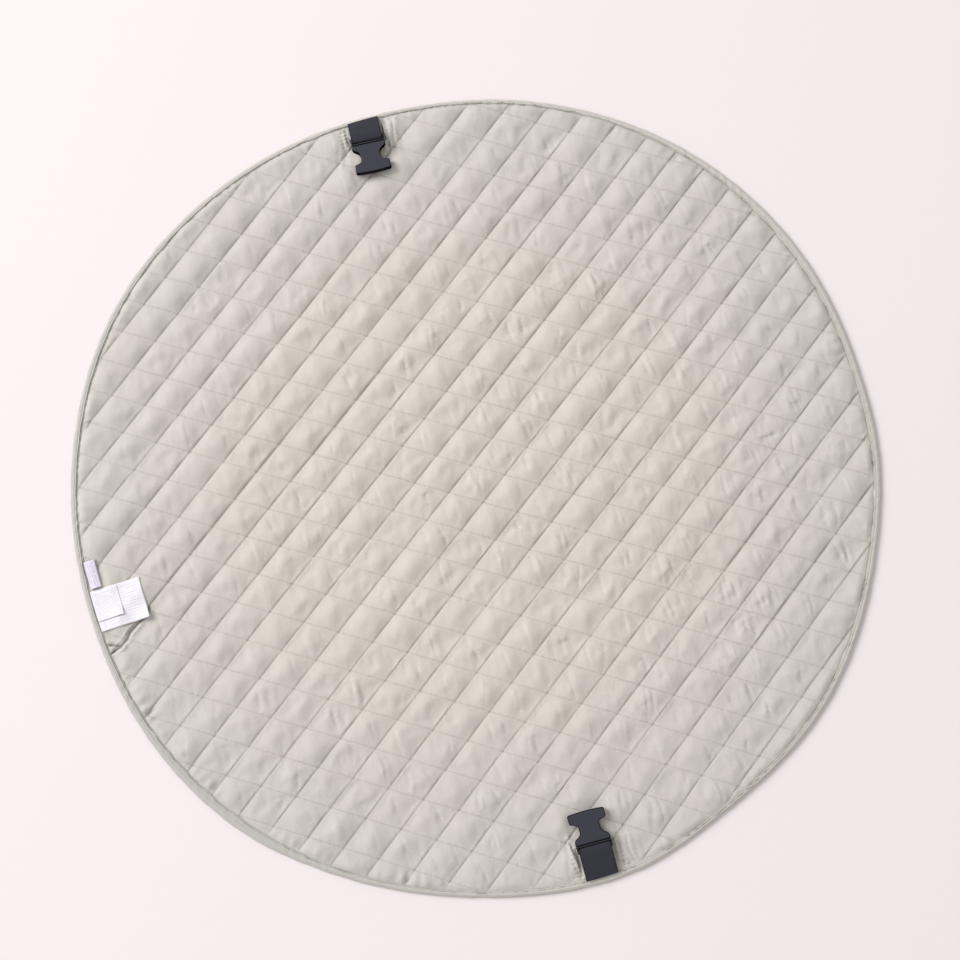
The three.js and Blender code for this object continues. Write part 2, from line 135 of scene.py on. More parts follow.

# Narrow folds: from under the care label to the rim, and beside the straps. dark is the painted shade
# along a fold.
FOLD_REACH = 9.0
NARROW_FOLDS = (
    Row(depth=2.3, width=1.5, lip=1.3, lip_at=4.6, dark=3.0, lines=(
        ((-421.8, -24.1), (-430.0, -31.5), (-440.2, -38.0), (-451.5, -45.0), (-456.0, -51.0),
         (-465.5, -57.9), (-478.5, -61.9)),
        ((-465.5, -57.9), (-473.0, -54.0), (-481.0, -51.0)),
    )),
    Row(depth=1.0, width=1.3, lip=1.1, lip_at=3.6, dark=0.5, lines=(
        ((-27.0, -436.6), (-24.6, -443.0), (-23.4, -452.0), (-22.8, -464.8), (-22.6, -480.0)),
        ((27.2, 480.8), (27.2, 471.0), (26.6, 460.2), (25.2, 449.6), (23.6, 439.4)),
        ((-22.6, 482.0), (-23.2, 471.8), (-23.6, 458.8)),
    )),
    Row(depth=0.7, width=1.2, lip=0.6, lip_at=3.2, dark=0.3, lines=(
        ((30.4, -449.8), (28.9, -464.0), (28.7, -474.3), (29.0, -482.0)),
        ((40.4, -451.4), (38.7, -464.1), (40.7, -475.0), (42.2, -480.0)),
        ((37.2, 474.1), (35.5, 462.2), (32.6, 450.7), (31.2, 437.4)),
    )),
)

# Pinches: short folds inside the cells. rate is about how many a cell has, aside how far from its
# middle they lie, lean is in degrees, and reach is how far a pinch changes the cloth.
PINCH = Row(
    rate=1.9, least=0.15, aside=(-13, 16), half=24, share=(0.5, 0.95), lean=9, shift=3, bend=1.2,
    depth=(0.35, 0.95), width=1.6, lip=0.5, lip_at=3.6, lip_width=2.0, reach=5.0, inset=12,
)

# Spacing of the cloth's threads of mesh from a seam to the middle of a cell, and back.
TOP_SPACING = (1, 1.8, 2.6, 3, 3.4, 3.6, 3.6)
UNDER_SPACING = (1, 3, 4)

# Rings that close the quilt's side under the binding, from above to below.
SIDE_RINGS = (
    # inset, height
    (2.9, 3.4),
    (2.9, 1.6),
    (11.6, 1.6),
    (11.6, 0.5),
)

# The webbing of the straps, with the height of its seam and where it lies level.
WEBBING = Row(width=38.8, thick=1.4, seam_height=7.3, level=-12.5)

# Where the buckles lie: the middle of the webbing slot and the azimuth that the mouth faces.
BUCKLES = (
    Row(name="upper", x=-0.7, y=450.4, faces=-94.6),
    Row(name="lower", x=0.9, y=-445.7, faces=87.4),
)


def smooth(t):
    t = np.clip(t, 0, 1)
    return t * t * (3 - 2 * t)


def rim_value(column, degrees):
    """One column of RIM at an azimuth, on a smooth closed curve through the rows."""
    at = np.mod(degrees, 360)
    place = np.array([row[0] for row in RIM], float)
    value = np.array([row[column] for row in RIM], float)
    place = np.concatenate([place[-2:] - 360, place, place[:2] + 360])
    value = np.concatenate([value[-2:], value, value[:2]])
    k = np.searchsorted(place, at, side="right")
    span = place[k] - place[k - 1]
    t = (at - place[k - 1]) / span
    slope_from = span * (value[k] - value[k - 2]) / (place[k] - place[k - 2])
    slope_to = span * (value[k + 1] - value[k - 1]) / (place[k + 1] - place[k - 1])
    rise = smooth(t)
    curve = value[k - 1] * (1 - rise) + value[k] * rise
    return curve + slope_from * t * (1 - t) ** 2 - slope_to * t * t * (1 - t)


def azimuth(x, y):
    return np.degrees(np.arctan2(y, x))


def inside_binding(x, y):
    """How far a point lies inside the binding's inner edge."""
    at = azimuth(x, y)
    return rim_value(RADIUS, at) - rim_value(BINDING, at) - np.hypot(x, y)


def seam_phase(family, x, y):
    """Pitches across a family of seams, which run where this is a whole number."""
    u = x / BOW_REACH
    v = y / BOW_REACH
    bow = family.x * u + family.y * v + family.xx * u ** 2
    bow = bow + family.xxx * u ** 3 + family.yyy * v ** 3
    straight = family.across[0] * x + family.across[1] * y
    return (straight + family.shift + bow) / QUILT_PITCH


def lattice_point(i, j):
    """The place where two seam phases meet."""
    first = DEEP_SEAMS.across
    second = SHALLOW_SEAMS.across
    turn = first[0] * second[1] - first[1] * second[0]
    x = np.zeros_like(i)
    y = np.zeros_like(i)
    for step in range(6):
        a = (i - seam_phase(DEEP_SEAMS, x, y)) * QUILT_PITCH
        b = (j - seam_phase(SHALLOW_SEAMS, x, y)) * QUILT_PITCH
        x = x + (a * second[1] - b * first[1]) / turn
        y = y + (b * first[0] - a * second[0]) / turn
    return x, y


def waves(x, y, seed, count, short, long, heading=None, spread=0.0):
    """Smooth uneven waves of about unit height, all ways or near one heading in degrees."""
    draw = np.random.default_rng(seed)
    total = np.zeros_like(x)
    for k in range(count):
        length = math.exp(draw.uniform(math.log(short), math.log(long)))
        if heading is None:
            turn = draw.uniform(0, 2 * math.pi)
        else:
            turn = math.radians(draw.normal(heading, spread))
        start = draw.uniform(0, 2 * math.pi)
        along = x * math.cos(turn) + y * math.sin(turn)
        total += np.sin(2 * math.pi * along / length + start)
    return total / math.sqrt(count / 2)


def facets(x, y, seed, count, short, long):
    """Uneven flat facets of about unit height, with soft ridges between them."""
    draw = np.random.default_rng(seed)
    total = np.zeros_like(x)
    for k in range(count):
        length = math.exp(draw.uniform(math.log(short), math.log(long)))
        turn = draw.uniform(0, 2 * math.pi)
        start = draw.uniform(0, 1)
        bend = 0.12 * np.sin((x * math.sin(turn) - y * math.cos(turn)) / 23 + 6 * start)
        along = (x * math.cos(turn) + y * math.sin(turn)) / length + start + bend
        total += 4 * np.abs(along - np.rint(along)) - 1
    return total / math.sqrt(count / 3)


def drawn_seams(x, y):
    """How much painted shade the drawn seams get, and how much deeper they lie than the others."""
    i = seam_phase(DEEP_SEAMS, x, y)
    j = seam_phase(SHALLOW_SEAMS, x, y)
    dark = np.zeros_like(x)
    depth = np.zeros_like(x)
    for row in DRAWN_SEAMS:
        across = (i - row.seam) * QUILT_PITCH
        share = smooth((j - row.start) / 0.5) * smooth((row.end - j) / 0.5)
        near = np.exp(-((across / 2.0) ** 2)) * share
        dark = np.maximum(dark, row.dark * near)
        depth = np.maximum(depth, row.depth * near)
    return dark, depth


def line_distance(x, y, lines):
    """How far points are from the nearest of some lines of points."""
    best = np.full_like(x, 1e6)
    for line in lines:
        for (ax, ay), (bx, by) in zip(line, line[1:]):
            dx, dy = bx - ax, by - ay
            t = np.clip(((x - ax) * dx + (y - ay) * dy) / (dx * dx + dy * dy), 0, 1)
            best = np.minimum(best, np.hypot(x - ax - t * dx, y - ay - t * dy))
    return best


def strap_folds(x, y):
    """Folds that run beside each strap and splay out from it."""
    total = np.zeros_like(x)
    for place in BUCKLES:
        turn = math.radians(place.faces - 90)
        dx = x - place.x
        dy = y - place.y
        across = dx * math.cos(turn) + dy * math.sin(turn)
        along = -dx * math.sin(turn) + dy * math.cos(turn)
        side = np.abs(across) - 21 - 0.14 * (along + 25) + 1.6 * np.sin(along / 11 + np.sign(across))
        wave = np.sin(2 * math.pi * side / 9.5 + 0.5)
        wave += 0.5 * np.sin(2 * math.pi * side / 6.1 + along / 15)
        reach = smooth((side + 4) / 6) * np.exp(-((np.maximum(side - 5, 0) / 12) ** 2))
        total += wave * reach * smooth((44 - along) / 40)
    return total


# Pieces


def coordinates(mesh):
    spots = np.empty(3 * len(mesh.vertices))
    mesh.vertices.foreach_get("co", spots)
    return spots.reshape(-1, 3)


def set_coordinates(mesh, spots):
    mesh.vertices.foreach_set("co", np.asarray(spots, float).ravel())
    mesh.update()


def plan(bm):
    """X and Y of a bmesh's points."""
    return np.array([vert.co[:2] for vert in bm.verts]).T


def mesh_from(bm, name):
    mesh = bpy.data.meshes.new(name)
    bm.to_mesh(mesh)
    bm.free()
    return mesh


def placed(name, data):
    """An object with this data, linked to the scene."""
    piece = bpy.data.objects.new(name, data)
    bpy.context.scene.collection.objects.link(piece)
    return piece


def finished(bm, name, material, smooth_faces=True):
    """A piece in metres from a bmesh in millimetres."""
    bmesh.ops.scale(bm, vec=(MM, MM, MM), verts=bm.verts)
    for face in bm.faces:
        face.smooth = smooth_faces
    mesh = mesh_from(bm, name)
    if material is not None:
        mesh.materials.append(material)
    return placed(name, mesh)


def set_uv(bm, name, places):
    """Gives each point's place on a new UV map to its corners."""
    layer = bm.loops.layers.uv.new(name)
    for face in bm.faces:
        for loop in face.loops:
            loop[layer].uv = places[loop.vert]


def surface_of(piece):
    """A piece's surface, for rays."""
    return BVHTree.FromPolygons(
        [vert.co.copy() for vert in piece.data.vertices],
        [face.vertices[:] for face in piece.data.polygons],
    )


# Materials


def feed(tree, socket, value):
    """Sets a socket to a value, or links it to the socket that the value is."""
    if isinstance(value, bpy.types.NodeSocket):
        tree.links.new(value, socket)
    else:
        socket.default_value = value


def node(tree, kind, inputs=None, **settings):
    """A shader node with its settings, then its inputs by name or number."""
    made = tree.nodes.new("ShaderNode" + kind)
    for name, value in settings.items():
        setattr(made, name, value)
    for name, value in (inputs or {}).items():
        feed(tree, made.inputs[name], value)
    return made


def new_group(name, inputs, outputs):
    """A node group's tree with its sockets, and its input and output nodes."""
    tree = bpy.data.node_groups.new(name, "ShaderNodeTree")
    for title, kind, default in inputs:
        made = tree.interface.new_socket(title, in_out="INPUT", socket_type="NodeSocket" + kind)
        if default is not None:
            made.default_value = default
    for title, kind in outputs:
        tree.interface.new_socket(title, in_out="OUTPUT", socket_type="NodeSocket" + kind)
    return tree, tree.nodes.new("NodeGroupInput").outputs, tree.nodes.new("NodeGroupOutput").inputs


def math_node(tree, operation, *values):
    return node(tree, "Math", dict(enumerate(values)), operation=operation).outputs[0]


def noise(tree, place, scale, detail=2.0, distortion=0.0):
    inputs = {"Vector": place, "Scale": scale, "Detail": detail, "Distortion": distortion}
    return node(tree, "TexNoise", inputs).outputs["Fac"]


def ranged(tree, value, low, high, first=0.0, last=1.0, kind="SMOOTHSTEP"):
    """Maps a value from low to high onto first to last."""
    inputs = {"Value": value, "From Min": low, "From Max": high, "To Min": first, "To Max": last}
    return node(tree, "MapRange", inputs, interpolation_type=kind).outputs["Result"]


def falling(tree, value, width):
    """1 where a value is 0, falling smoothly to 0 at width."""
    return ranged(tree, value, 0.0, width, 1.0, 0.0)


def mix_colour(tree, share, first, second):
    inputs = {"Factor": share, "A": first, "B": second}
    return node(tree, "Mix", inputs, data_type="RGBA", clamp_factor=True).outputs["Result"]


def split_node(tree, vector):
    return node(tree, "SeparateXYZ", {"Vector": vector}).outputs


def bump_node(tree, height, strength, distance):
    return node(tree, "Bump", {"Height": height, "Strength": strength, "Distance": distance})


def object_place(tree):
    return node(tree, "TexCoord").outputs["Object"]


def uv_place(tree, name):
    return node(tree, "UVMap", uv_map=name).outputs["UV"]


def attribute(tree, name):
    return node(tree, "Attribute", attribute_name=name).outputs["Fac"]


def woven_group():
    """Over and under of a weave: threads run along both directions of the given vector."""
    tree, given, result = new_group("woven_threads", (
        ("Vector", "Vector", None),
        ("Threads", "Float", 2000.0),
        ("Unevenness", "Float", 0.3),
    ), (("Height", "Float"),))
    bands = []
    for direction in "XY":
        inputs = {"Vector": given["Vector"], "Scale": given["Threads"], "Distortion": 0.4}
        bands.append(node(tree, "TexWave", inputs, bands_direction=direction).outputs["Fac"])
    woven = math_node(tree, "MAXIMUM", *bands)
    stray = math_node(tree, "MULTIPLY", noise(tree, given["Vector"], 90.0), given["Unevenness"])
    feed(tree, result["Height"], math_node(tree, "ADD", woven, stray))
    return tree


def mottle_group():
    """Darkens and lightens a colour by a large and a small mottle."""
    tree, given, result = new_group("cloth_mottle", (
        ("Vector", "Vector", None),
        ("Color", "Color", (0.5, 0.5, 0.5, 1.0)),
        ("Deep Color", "Color", (0.4, 0.4, 0.4, 1.0)),
        ("Large Scale", "Float", 6.0),
        ("Small Scale", "Float", 260.0),
        ("Amount", "Float", 0.4),
    ), (("Color", "Color"),))
    large = noise(tree, given["Vector"], given["Large Scale"], 3.0)
    small = noise(tree, given["Vector"], given["Small Scale"], 4.0)
    centred = math_node(tree, "SUBTRACT", math_node(tree, "ADD", large, small), 0.6)
    share = math_node(tree, "MULTIPLY", centred, given["Amount"])
    feed(tree, result["Color"], mix_colour(tree, share, given["Color"], given["Deep Color"]))
    return tree


def dashes_group():
    """Rows of plain faint dashes: 1 on the print and 0 between."""
    tree, given, result = new_group("faint_dashes", (
        ("Vector", "Vector", None),
        ("Rows", "Float", 14.0),
        ("Margin", "Float", 0.08),
    ), (("Print", "Float"),))
    across, down, _ = split_node(tree, given["Vector"])
    row = math_node(tree, "MULTIPLY", down, given["Rows"])
    shown = math_node(tree, "GREATER_THAN", math_node(tree, "PINGPONG", row, 0.5), 0.27)
    place = node(tree, "CombineXYZ", {
        "X": math_node(tree, "MULTIPLY", across, 9.0),
        "Y": math_node(tree, "MULTIPLY", math_node(tree, "FLOOR", row), 7.31),
    }).outputs["Vector"]
    dash = math_node(tree, "GREATER_THAN", noise(tree, place, 1.0, 1.0), 0.43)
    shown = math_node(tree, "MULTIPLY", shown, dash)
    for side in (across, down):
        from_side = math_node(tree, "PINGPONG", side, 0.5)
        clear = math_node(tree, "GREATER_THAN", from_side, given["Margin"])
        shown = math_node(tree, "MULTIPLY", shown, clear)
    feed(tree, result["Print"], shown)
    return tree


WOVEN = woven_group()
MOTTLE = mottle_group()
DASHES = dashes_group()


def group_node(tree, group, inputs):
    return node(tree, "Group", inputs, node_tree=group)


def bare_material(name, roughness, sheen=0.0, specular=0.5):
    material = bpy.data.materials.new(name)
    material.use_nodes = True
    shader = material.node_tree.nodes["Principled BSDF"].inputs
    shader["Roughness"].default_value = roughness
    shader["Sheen Weight"].default_value = sheen
    shader["Sheen Roughness"].default_value = 0.5
    shader["Specular IOR Level"].default_value = specular
    return material, material.node_tree, shader


def cloth_material(name, colour, deep, threads, bump, mottle=0.4, sheen=0.15, uv=None):
    """Woven cloth on Object coordinates, or on a UV map in metres.

    Returns the material, its tree, the shader's inputs, the mottle's node and the weave's bump."""
    material, tree, shader = bare_material(name, 0.92, sheen, 0.25)
    place = uv_place(tree, uv) if uv else object_place(tree)
    mottled = group_node(tree, MOTTLE, {
        "Vector": place, "Color": (*colour, 1), "Deep Color": (*deep, 1), "Amount": mottle,
    })
    woven = group_node(tree, WOVEN, {"Vector": place, "Threads": threads})
    relief = bump_node(tree, woven.outputs["Height"], bump, 0.0002)
    feed(tree, shader["Normal"], relief.outputs["Normal"])
    feed(tree, shader["Base Color"], mottled.outputs["Color"])
    return material, tree, shader, mottled, relief


def quilt_material():
    """Back cloth: greyer at the rim, with puckers and uneven painted shade along the seams."""
    material, tree, shader, mottled, weave = cloth_material(
        "back_cloth_weave", (0.609, 0.561, 0.510), (0.565, 0.510, 0.452), 1400.0, 0.35,
    )
    place = object_place(tree)
    away = node(tree, "VectorMath", {0: place}, operation="LENGTH").outputs["Value"]
    toward_rim = ranged(tree, away, 0.16, 0.49)
    base = mix_colour(tree, toward_rim, (0.612, 0.565, 0.514, 1), (0.562, 0.534, 0.501, 1))
    feed(tree, mottled.inputs["Color"], base)

    strength = ranged(tree, noise(tree, place, 9.0, 3.0), 0.32, 0.68, 0.25, 1.35, "LINEAR")
    phases = split_node(tree, uv_place(tree, "quilting"))
    seam_shades, puckered, crossings = [], [], []
    # Painted shade along both families of seams, made uneven by the noise above.
    for axis, width, dark in (("X", 0.052, 0.35), ("Y", 0.030, 0.15)):
        from_seam = math_node(tree, "PINGPONG", phases[axis], 0.5)
        seam_shade = math_node(tree, "MULTIPLY", falling(tree, from_seam, width), dark)
        seam_shades.append(math_node(tree, "MULTIPLY", seam_shade, strength))
        puckered.append(falling(tree, from_seam, 0.15))
        crossings.append(falling(tree, from_seam, 0.06))
    share = math_node(tree, "MAXIMUM", *seam_shades)

    # Painted shade along the tape's inner edge, stronger toward the mat's right.
    from_tape = attribute(tree, "rim_inset")
    right = ranged(tree, split_node(tree, place)["X"], 0.05, 0.42, 0.0, 0.40)
    by_side = math_node(tree, "ADD", right, 0.08)
    tape_shade = math_node(tree, "MULTIPLY", falling(tree, from_tape, 1.8), by_side)
    share = math_node(tree, "MAXIMUM", share, tape_shade)
    # Painted shade along the drawn seams and narrow folds, where seams cross, and by the deep seams
    # toward the right rim.
    drawn = math_node(tree, "MULTIPLY", attribute(tree, "drawn_seam_shade"), 0.30)
    crossing_shade = math_node(tree, "MULTIPLY", math_node(tree, "MULTIPLY", *crossings), 0.45)
    shaded = math_node(tree, "MULTIPLY", right, falling(tree, from_tape, 42.0))
    shaded = math_node(tree, "MULTIPLY", shaded, crossings[0])
    for more in (drawn, crossing_shade, shaded):
        share = math_node(tree, "ADD", share, more)
    # All of the painted shade darkens the cloth toward this dark brown.
    colour = mix_colour(tree, share, mottled.outputs["Color"], (0.235, 0.215, 0.19, 1))
    feed(tree, shader["Base Color"], colour)

    near = math_node(tree, "MAXIMUM", *puckered)
    raised = math_node(tree, "MULTIPLY", noise(tree, place, 170.0, 1.0), near)
    streaked = node(tree, "Mapping", {"Vector": place, "Scale": (1.0, 0.25, 1.0)}).outputs["Vector"]
    streaks = noise(tree, streaked, 190.0, 2.0, 0.8)
    sparse = math_node(tree, "MULTIPLY", math_node(tree, "MULTIPLY", streaks, strength), 0.5)
    relief = bump_node(tree, math_node(tree, "ADD", raised, sparse), 0.55, 0.0016)
    feed(tree, weave.inputs["Normal"], relief.outputs["Normal"])
    return material


def plastic_material():
    """Satin plastic, darker and duller where a face tilts: painted shade, with the specular turned down.
    """
    material, tree, shader = bare_material("buckle_plastic_satin", 0.42, specular=0.38)
    place = object_place(tree)
    mottled = group_node(tree, MOTTLE, {
        "Vector": place, "Color": (0.032, 0.032, 0.046, 1), "Deep Color": (0.023, 0.023, 0.035, 1),
        "Large Scale": 40.0, "Small Scale": 900.0, "Amount": 0.6,
    })
    grain = noise(tree, place, 2500.0)
    feed(tree, shader["Normal"], bump_node(tree, grain, 0.12, 0.0001).outputs["Normal"])
    feed(tree, shader["Roughness"], ranged(tree, grain, 0.0, 1.0, 0.36, 0.55, "LINEAR"))
    # Painted shade on the tilted faces: a darker colour and less specular the steeper a face stands.
    facing = split_node(tree, node(tree, "NewGeometry").outputs["Normal"])["Z"]
    level = falling(tree, math_node(tree, "SUBTRACT", 1.0, facing), 0.22)
    colour = mix_colour(tree, level, (0.006, 0.006, 0.009, 1), mottled.outputs["Color"])
    feed(tree, shader["Base Color"], colour)
    feed(tree, shader["Specular IOR Level"], math_node(tree, "MULTIPLY", level, 0.38))
    return material


def binding_material():
    """Bias tape, a little greyer and darker toward the mat's left: painted shade."""
    material, tree, shader, mottled, relief = cloth_material(
        "binding_tape_twill", (0.585, 0.560, 0.512), (0.520, 0.500, 0.450), 1100.0, 0.5,
    )
    # Painted shade toward the mat's left.
    left = ranged(tree, split_node(tree, object_place(tree))["X"], -0.1, -0.45)
    base = mix_colour(tree, left, (0.585, 0.560, 0.512, 1), (0.500, 0.478, 0.455, 1))
    feed(tree, mottled.inputs["Color"], base)
    return material


def webbing_material():
    """Ribbed webbing, with painted shade along its two edges."""
    material, tree, shader, mottled, relief = cloth_material(
        "webbing_weave", (0.037, 0.037, 0.050), (0.027, 0.027, 0.037), 700.0, 0.8,
        mottle=0.6, sheen=0.03, uv="strap",
    )
    # Painted shade along both edges of the strap.
    aside = math_node(tree, "ABSOLUTE", split_node(tree, uv_place(tree, "strap"))["Y"])
    from_edge = math_node(tree, "SUBTRACT", 0.5 * WEBBING.width * MM, aside)
    edge_shade = math_node(tree, "MULTIPLY", falling(tree, from_edge, 0.0022), 0.85)
    colour = mix_colour(tree, edge_shade, mottled.outputs["Color"], (0.006, 0.006, 0.009, 1))
    feed(tree, shader["Base Color"], colour)
    return material


def label_material(name, colour, deep, ink, rows, strength):
    """Label satin with faint dashes on its UV map."""
    material, tree, shader, mottled, relief = cloth_material(name, colour, deep, 3000.0, 0.15, sheen=0.0)
    shader["Roughness"].default_value = 0.7
    dashes = group_node(tree, DASHES, {"Vector": uv_place(tree, "print"), "Rows": rows})
    share = math_node(tree, "MULTIPLY", dashes.outputs["Print"], strength)
    feed(tree, shader["Base Color"], mix_colour(tree, share, mottled.outputs["Color"], (*ink, 1)))
    return material


def floor_material():
    material, tree, shader = bare_material("pale_floor", 0.9, specular=0.2)
    mottled = group_node(tree, MOTTLE, {
        "Vector": object_place(tree), "Color": (0.812, 0.750, 0.758, 1),
        "Deep Color": (0.782, 0.712, 0.725, 1), "Large Scale": 1.5, "Small Scale": 60.0, "Amount": 0.3,
    })
    feed(tree, shader["Base Color"], mottled.outputs["Color"])
    return material


def lay_out(tree):
    """Sets a tree's nodes out in columns, each left of what it feeds."""
    column = {made.name: 0 for made in tree.nodes}
    for step in tree.nodes:
        for link in tree.links:
            source, target = link.from_node.name, link.to_node.name
            column[source] = max(column[source], column[target] + 1)
    rows = {}
    for made in tree.nodes:
        place = column[made.name]
        rows[place] = rows.get(place, 0) + 1
        made.location = (-260 * place, -300 * rows[place])


back_cloth = quilt_material()
binding_tape = binding_material()
quilting_thread = cloth_material(
    "quilting_thread", (0.52, 0.48, 0.42), (0.44, 0.40, 0.35), 2600.0, 0.3,
)[0]
binding_thread = cloth_material(
    "binding_thread", (0.43, 0.41, 0.37), (0.35, 0.33, 0.30), 2600.0, 0.3,
)[0]
webbing_weave = webbing_material()
plastic = plastic_material()
label_satin = label_material(
    "care_label_satin", (0.80, 0.775, 0.83), (0.75, 0.72, 0.78), (0.42, 0.37, 0.50), 15.0, 0.27,
)
loop_satin = label_material(
    "loop_label_satin", (0.70, 0.65, 0.76), (0.62, 0.57, 0.69), (0.30, 0.26, 0.40), 5.0, 0.34,
)
pale_floor = floor_material()
for tree in (WOVEN, MOTTLE, DASHES):
    lay_out(tree)
for material in (
    back_cloth, binding_tape, quilting_thread, binding_thread, webbing_weave, plastic, label_satin,
    loop_satin, pale_floor,
):
    lay_out(material.node_tree)


# The quilted body


def spread_places(spacing, cells):
    """Lattice places of a row of mesh threads over whole cells, from minus to plus cells."""
    steps = np.array(spacing + spacing[::-1], float)
    inner = np.concatenate([[0], np.cumsum(steps)[:-1]]) / steps.sum()
    whole = np.arange(-cells, cells)
    return np.concatenate([(whole[:, None] + inner[None, :]).ravel(), [cells]])


def quilted_sheet(spacing, inside):
    """A flat sheet of lattice cells where inside is not negative, with its points' lattice places."""
    places = spread_places(spacing, LATTICE_REACH)
    count = len(places) - 1
    bm = bmesh.new()
    bmesh.ops.create_grid(bm, x_segments=count, y_segments=count, size=0.5)
    bm.verts.ensure_lookup_table()
    corner = np.array([vert.co[:2] for vert in bm.verts])
    index = np.rint((corner + 0.5) * count).astype(int)
    i = places[index[:, 0]]
    j = places[index[:, 1]]
    x, y = lattice_point(i, j)
    first = bm.verts.layers.float.new("deep_place")
    second = bm.verts.layers.float.new("shallow_place")
    outside = inside(x, y) < 0
    for vert, a, b, px, py in zip(bm.verts, i, j, x, y):
        vert[first] = a
        vert[second] = b
        vert.co = (px, py, 0)
    gone = [vert for vert, out in zip(bm.verts, outside) if out]
    bmesh.ops.delete(bm, geom=gone, context="VERTS")
    loose = [vert for vert in bm.verts if not vert.link_faces]
    bmesh.ops.delete(bm, geom=loose, context="VERTS")
    corners = [face for face in bm.faces if sum(edge.is_boundary for edge in face.edges) > 2]
    bmesh.ops.delete(bm, geom=corners, context="FACES")
    return bm


def lattice_places(bm):
    first = bm.verts.layers.float["deep_place"]
    second = bm.verts.layers.float["shallow_place"]
    i = np.array([vert[first] for vert in bm.verts])
    j = np.array([vert[second] for vert in bm.verts])
    return i, j


def fade_width(degrees):
    sewn = np.zeros_like(degrees)
    for at, spread in SEWN_IN:
        off = np.mod(degrees - at + 180, 360) - 180
        sewn = np.maximum(sewn, np.exp(-((off / spread) ** 4)))
    return RIM_FADE + (SEWN_FADE - RIM_FADE) * sewn


def puff_shape(i, j):
    """Share of a full puff: low on the deep seams, half way on the shallow ones."""
    s = i - np.floor(i + 1e-6)
    t = j - np.floor(j + 1e-6)
    deep = np.maximum(0, np.sin(np.pi * s)) ** ROUNDNESS
    shallow = np.maximum(0, np.sin(np.pi * t)) ** ROUNDNESS
    ridge = 1 - RIDGE_FALL * np.abs(s - t)
    return deep * (1 - SHALLOW_SHARE * (1 - shallow)) * ridge


def cell_middle(i, j):
    """1 in the middle of a cell and 0 on its seams."""
    s = i - np.floor(i + 1e-6)
    t = j - np.floor(j + 1e-6)
    return np.sqrt(np.clip(4 * s * (1 - s), 0, 1) * np.clip(4 * t * (1 - t), 0, 1))


CLOTH = {
    "quality": 5, "mass": 0.15, "tension_stiffness": 40, "compression_stiffness": 40,
    "shear_stiffness": 10, "bending_stiffness": 0.05, "tension_damping": 5,
    "compression_damping": 5, "shear_damping": 5, "bending_damping": 0.5, "pin_stiffness": 1.0,
    "use_pressure": True, "uniform_pressure_force": PRESSURE,
}


def billow(piece, pinned, rest):
    """Lets the upper cloth blow up between its seams and crumple where it has slack."""
    piece.shape_key_add(name="Basis")
    cut = piece.shape_key_add(name="cut_size")
    cut.data.foreach_set("co", rest.ravel())
    cut.value = 0.0
    group = piece.vertex_groups.new(name="sewn_down")
    group.add([int(k) for k in np.nonzero(pinned)[0]], 1.0, "REPLACE")
    cloth = piece.modifiers.new("billow", "CLOTH")
    settings = cloth.settings
    for name, value in CLOTH.items():
        setattr(settings, name, value)
    settings.vertex_group_mass = group.name
    settings.rest_shape_key = cut
    settings.effector_weights.gravity = 0
    cloth.collision_settings.use_collision = False
    cloth.collision_settings.use_self_collision = False
    scene = bpy.context.scene
    cloth.point_cache.frame_end = SIM_FRAMES + 1
    for step in range(1, SIM_FRAMES + 1):
        scene.frame_set(step)
    evaluated = piece.evaluated_get(bpy.context.evaluated_depsgraph_get())
    settled = coordinates(evaluated.to_mesh())
    evaluated.to_mesh_clear()
    piece.modifiers.remove(cloth)
    piece.shape_key_clear()
    scene.frame_set(1)
    set_coordinates(piece.data, settled)


def upper_cloth():
    """The plain back cloth, settled between its seams, as a mesh in metres."""
    def under_tape(x, y):
        width = rim_value(BINDING, azimuth(x, y))
        return inside_binding(x, y) + np.minimum(3.0, width - 3.8)

    bm = quilted_sheet(TOP_SPACING, under_tape)
    i, j = lattice_places(bm)
    mesh = mesh_from(bm, "upper_cloth")
    flat = coordinates(mesh)
    x, y = flat[:, 0], flat[:, 1]
    inner = inside_binding(x, y)
    at = azimuth(x, y)
    fade = smooth(inner / fade_width(at))
    tuck = TUCK.depth * np.exp(-(((x - TUCK.x) ** 2 + (y - TUCK.y) ** 2) / TUCK.reach ** 2))
    drawn = SEAM_DRAW * waves(x, y, *DRAWN_WAVES)
    loft = 1 + LOFT_SHARE * waves(x, y, *LOFT_WAVES) + PUFF_RISE * y
    z = SEAM_TOP + drawn + PUFF * loft * puff_shape(i, j) * fade - tuck - drawn_seams(x, y)[1]
    on_seam = (np.abs(i - np.rint(i)) < 1e-4) | (np.abs(j - np.rint(j)) < 1e-4)
    at_rim = inner < 0.8
    z = np.where(at_rim, RIM_TOP, np.where(inner < 3, np.maximum(z, RIM_TOP), z))
    patchy = np.clip(0.8 + 0.7 * waves(x, y, *PATCH_WAVES), 0.1, 1.7)
    folds = FOLDS * waves(x, y, *FOLD_WAVES, heading=4, spread=22) * patchy
    crumple = CRUMPLE * facets(x, y, *CRUMPLE_FACETS)
    arc = np.radians(at) * 480
    crowded = np.clip(0.9 + 0.7 * waves(arc, 0 * arc, *CROWD_WAVES), 0.2, 2)
    gathers = GATHERS * waves(arc, 0.5 * inner, *GATHER_WAVES, heading=0, spread=8) * crowded
    gathers = gathers * np.exp(-(((inner - 5) / 9) ** 2))
    lift = (folds + crumple) * cell_middle(i, j) + gathers
    beside = STRAP_FOLDS * strap_folds(x, y) * smooth(inner / 4)
    start = np.where(on_seam | at_rim, z, z + lift * fade) + beside
    set_coordinates(mesh, np.column_stack([x, y, start]) * MM)
    piece = placed("upper_cloth", mesh)
    rest = np.column_stack([x * (1 + SLACK), y, 0 * z]) * MM
    billow(piece, on_seam | at_rim, rest)
    return piece


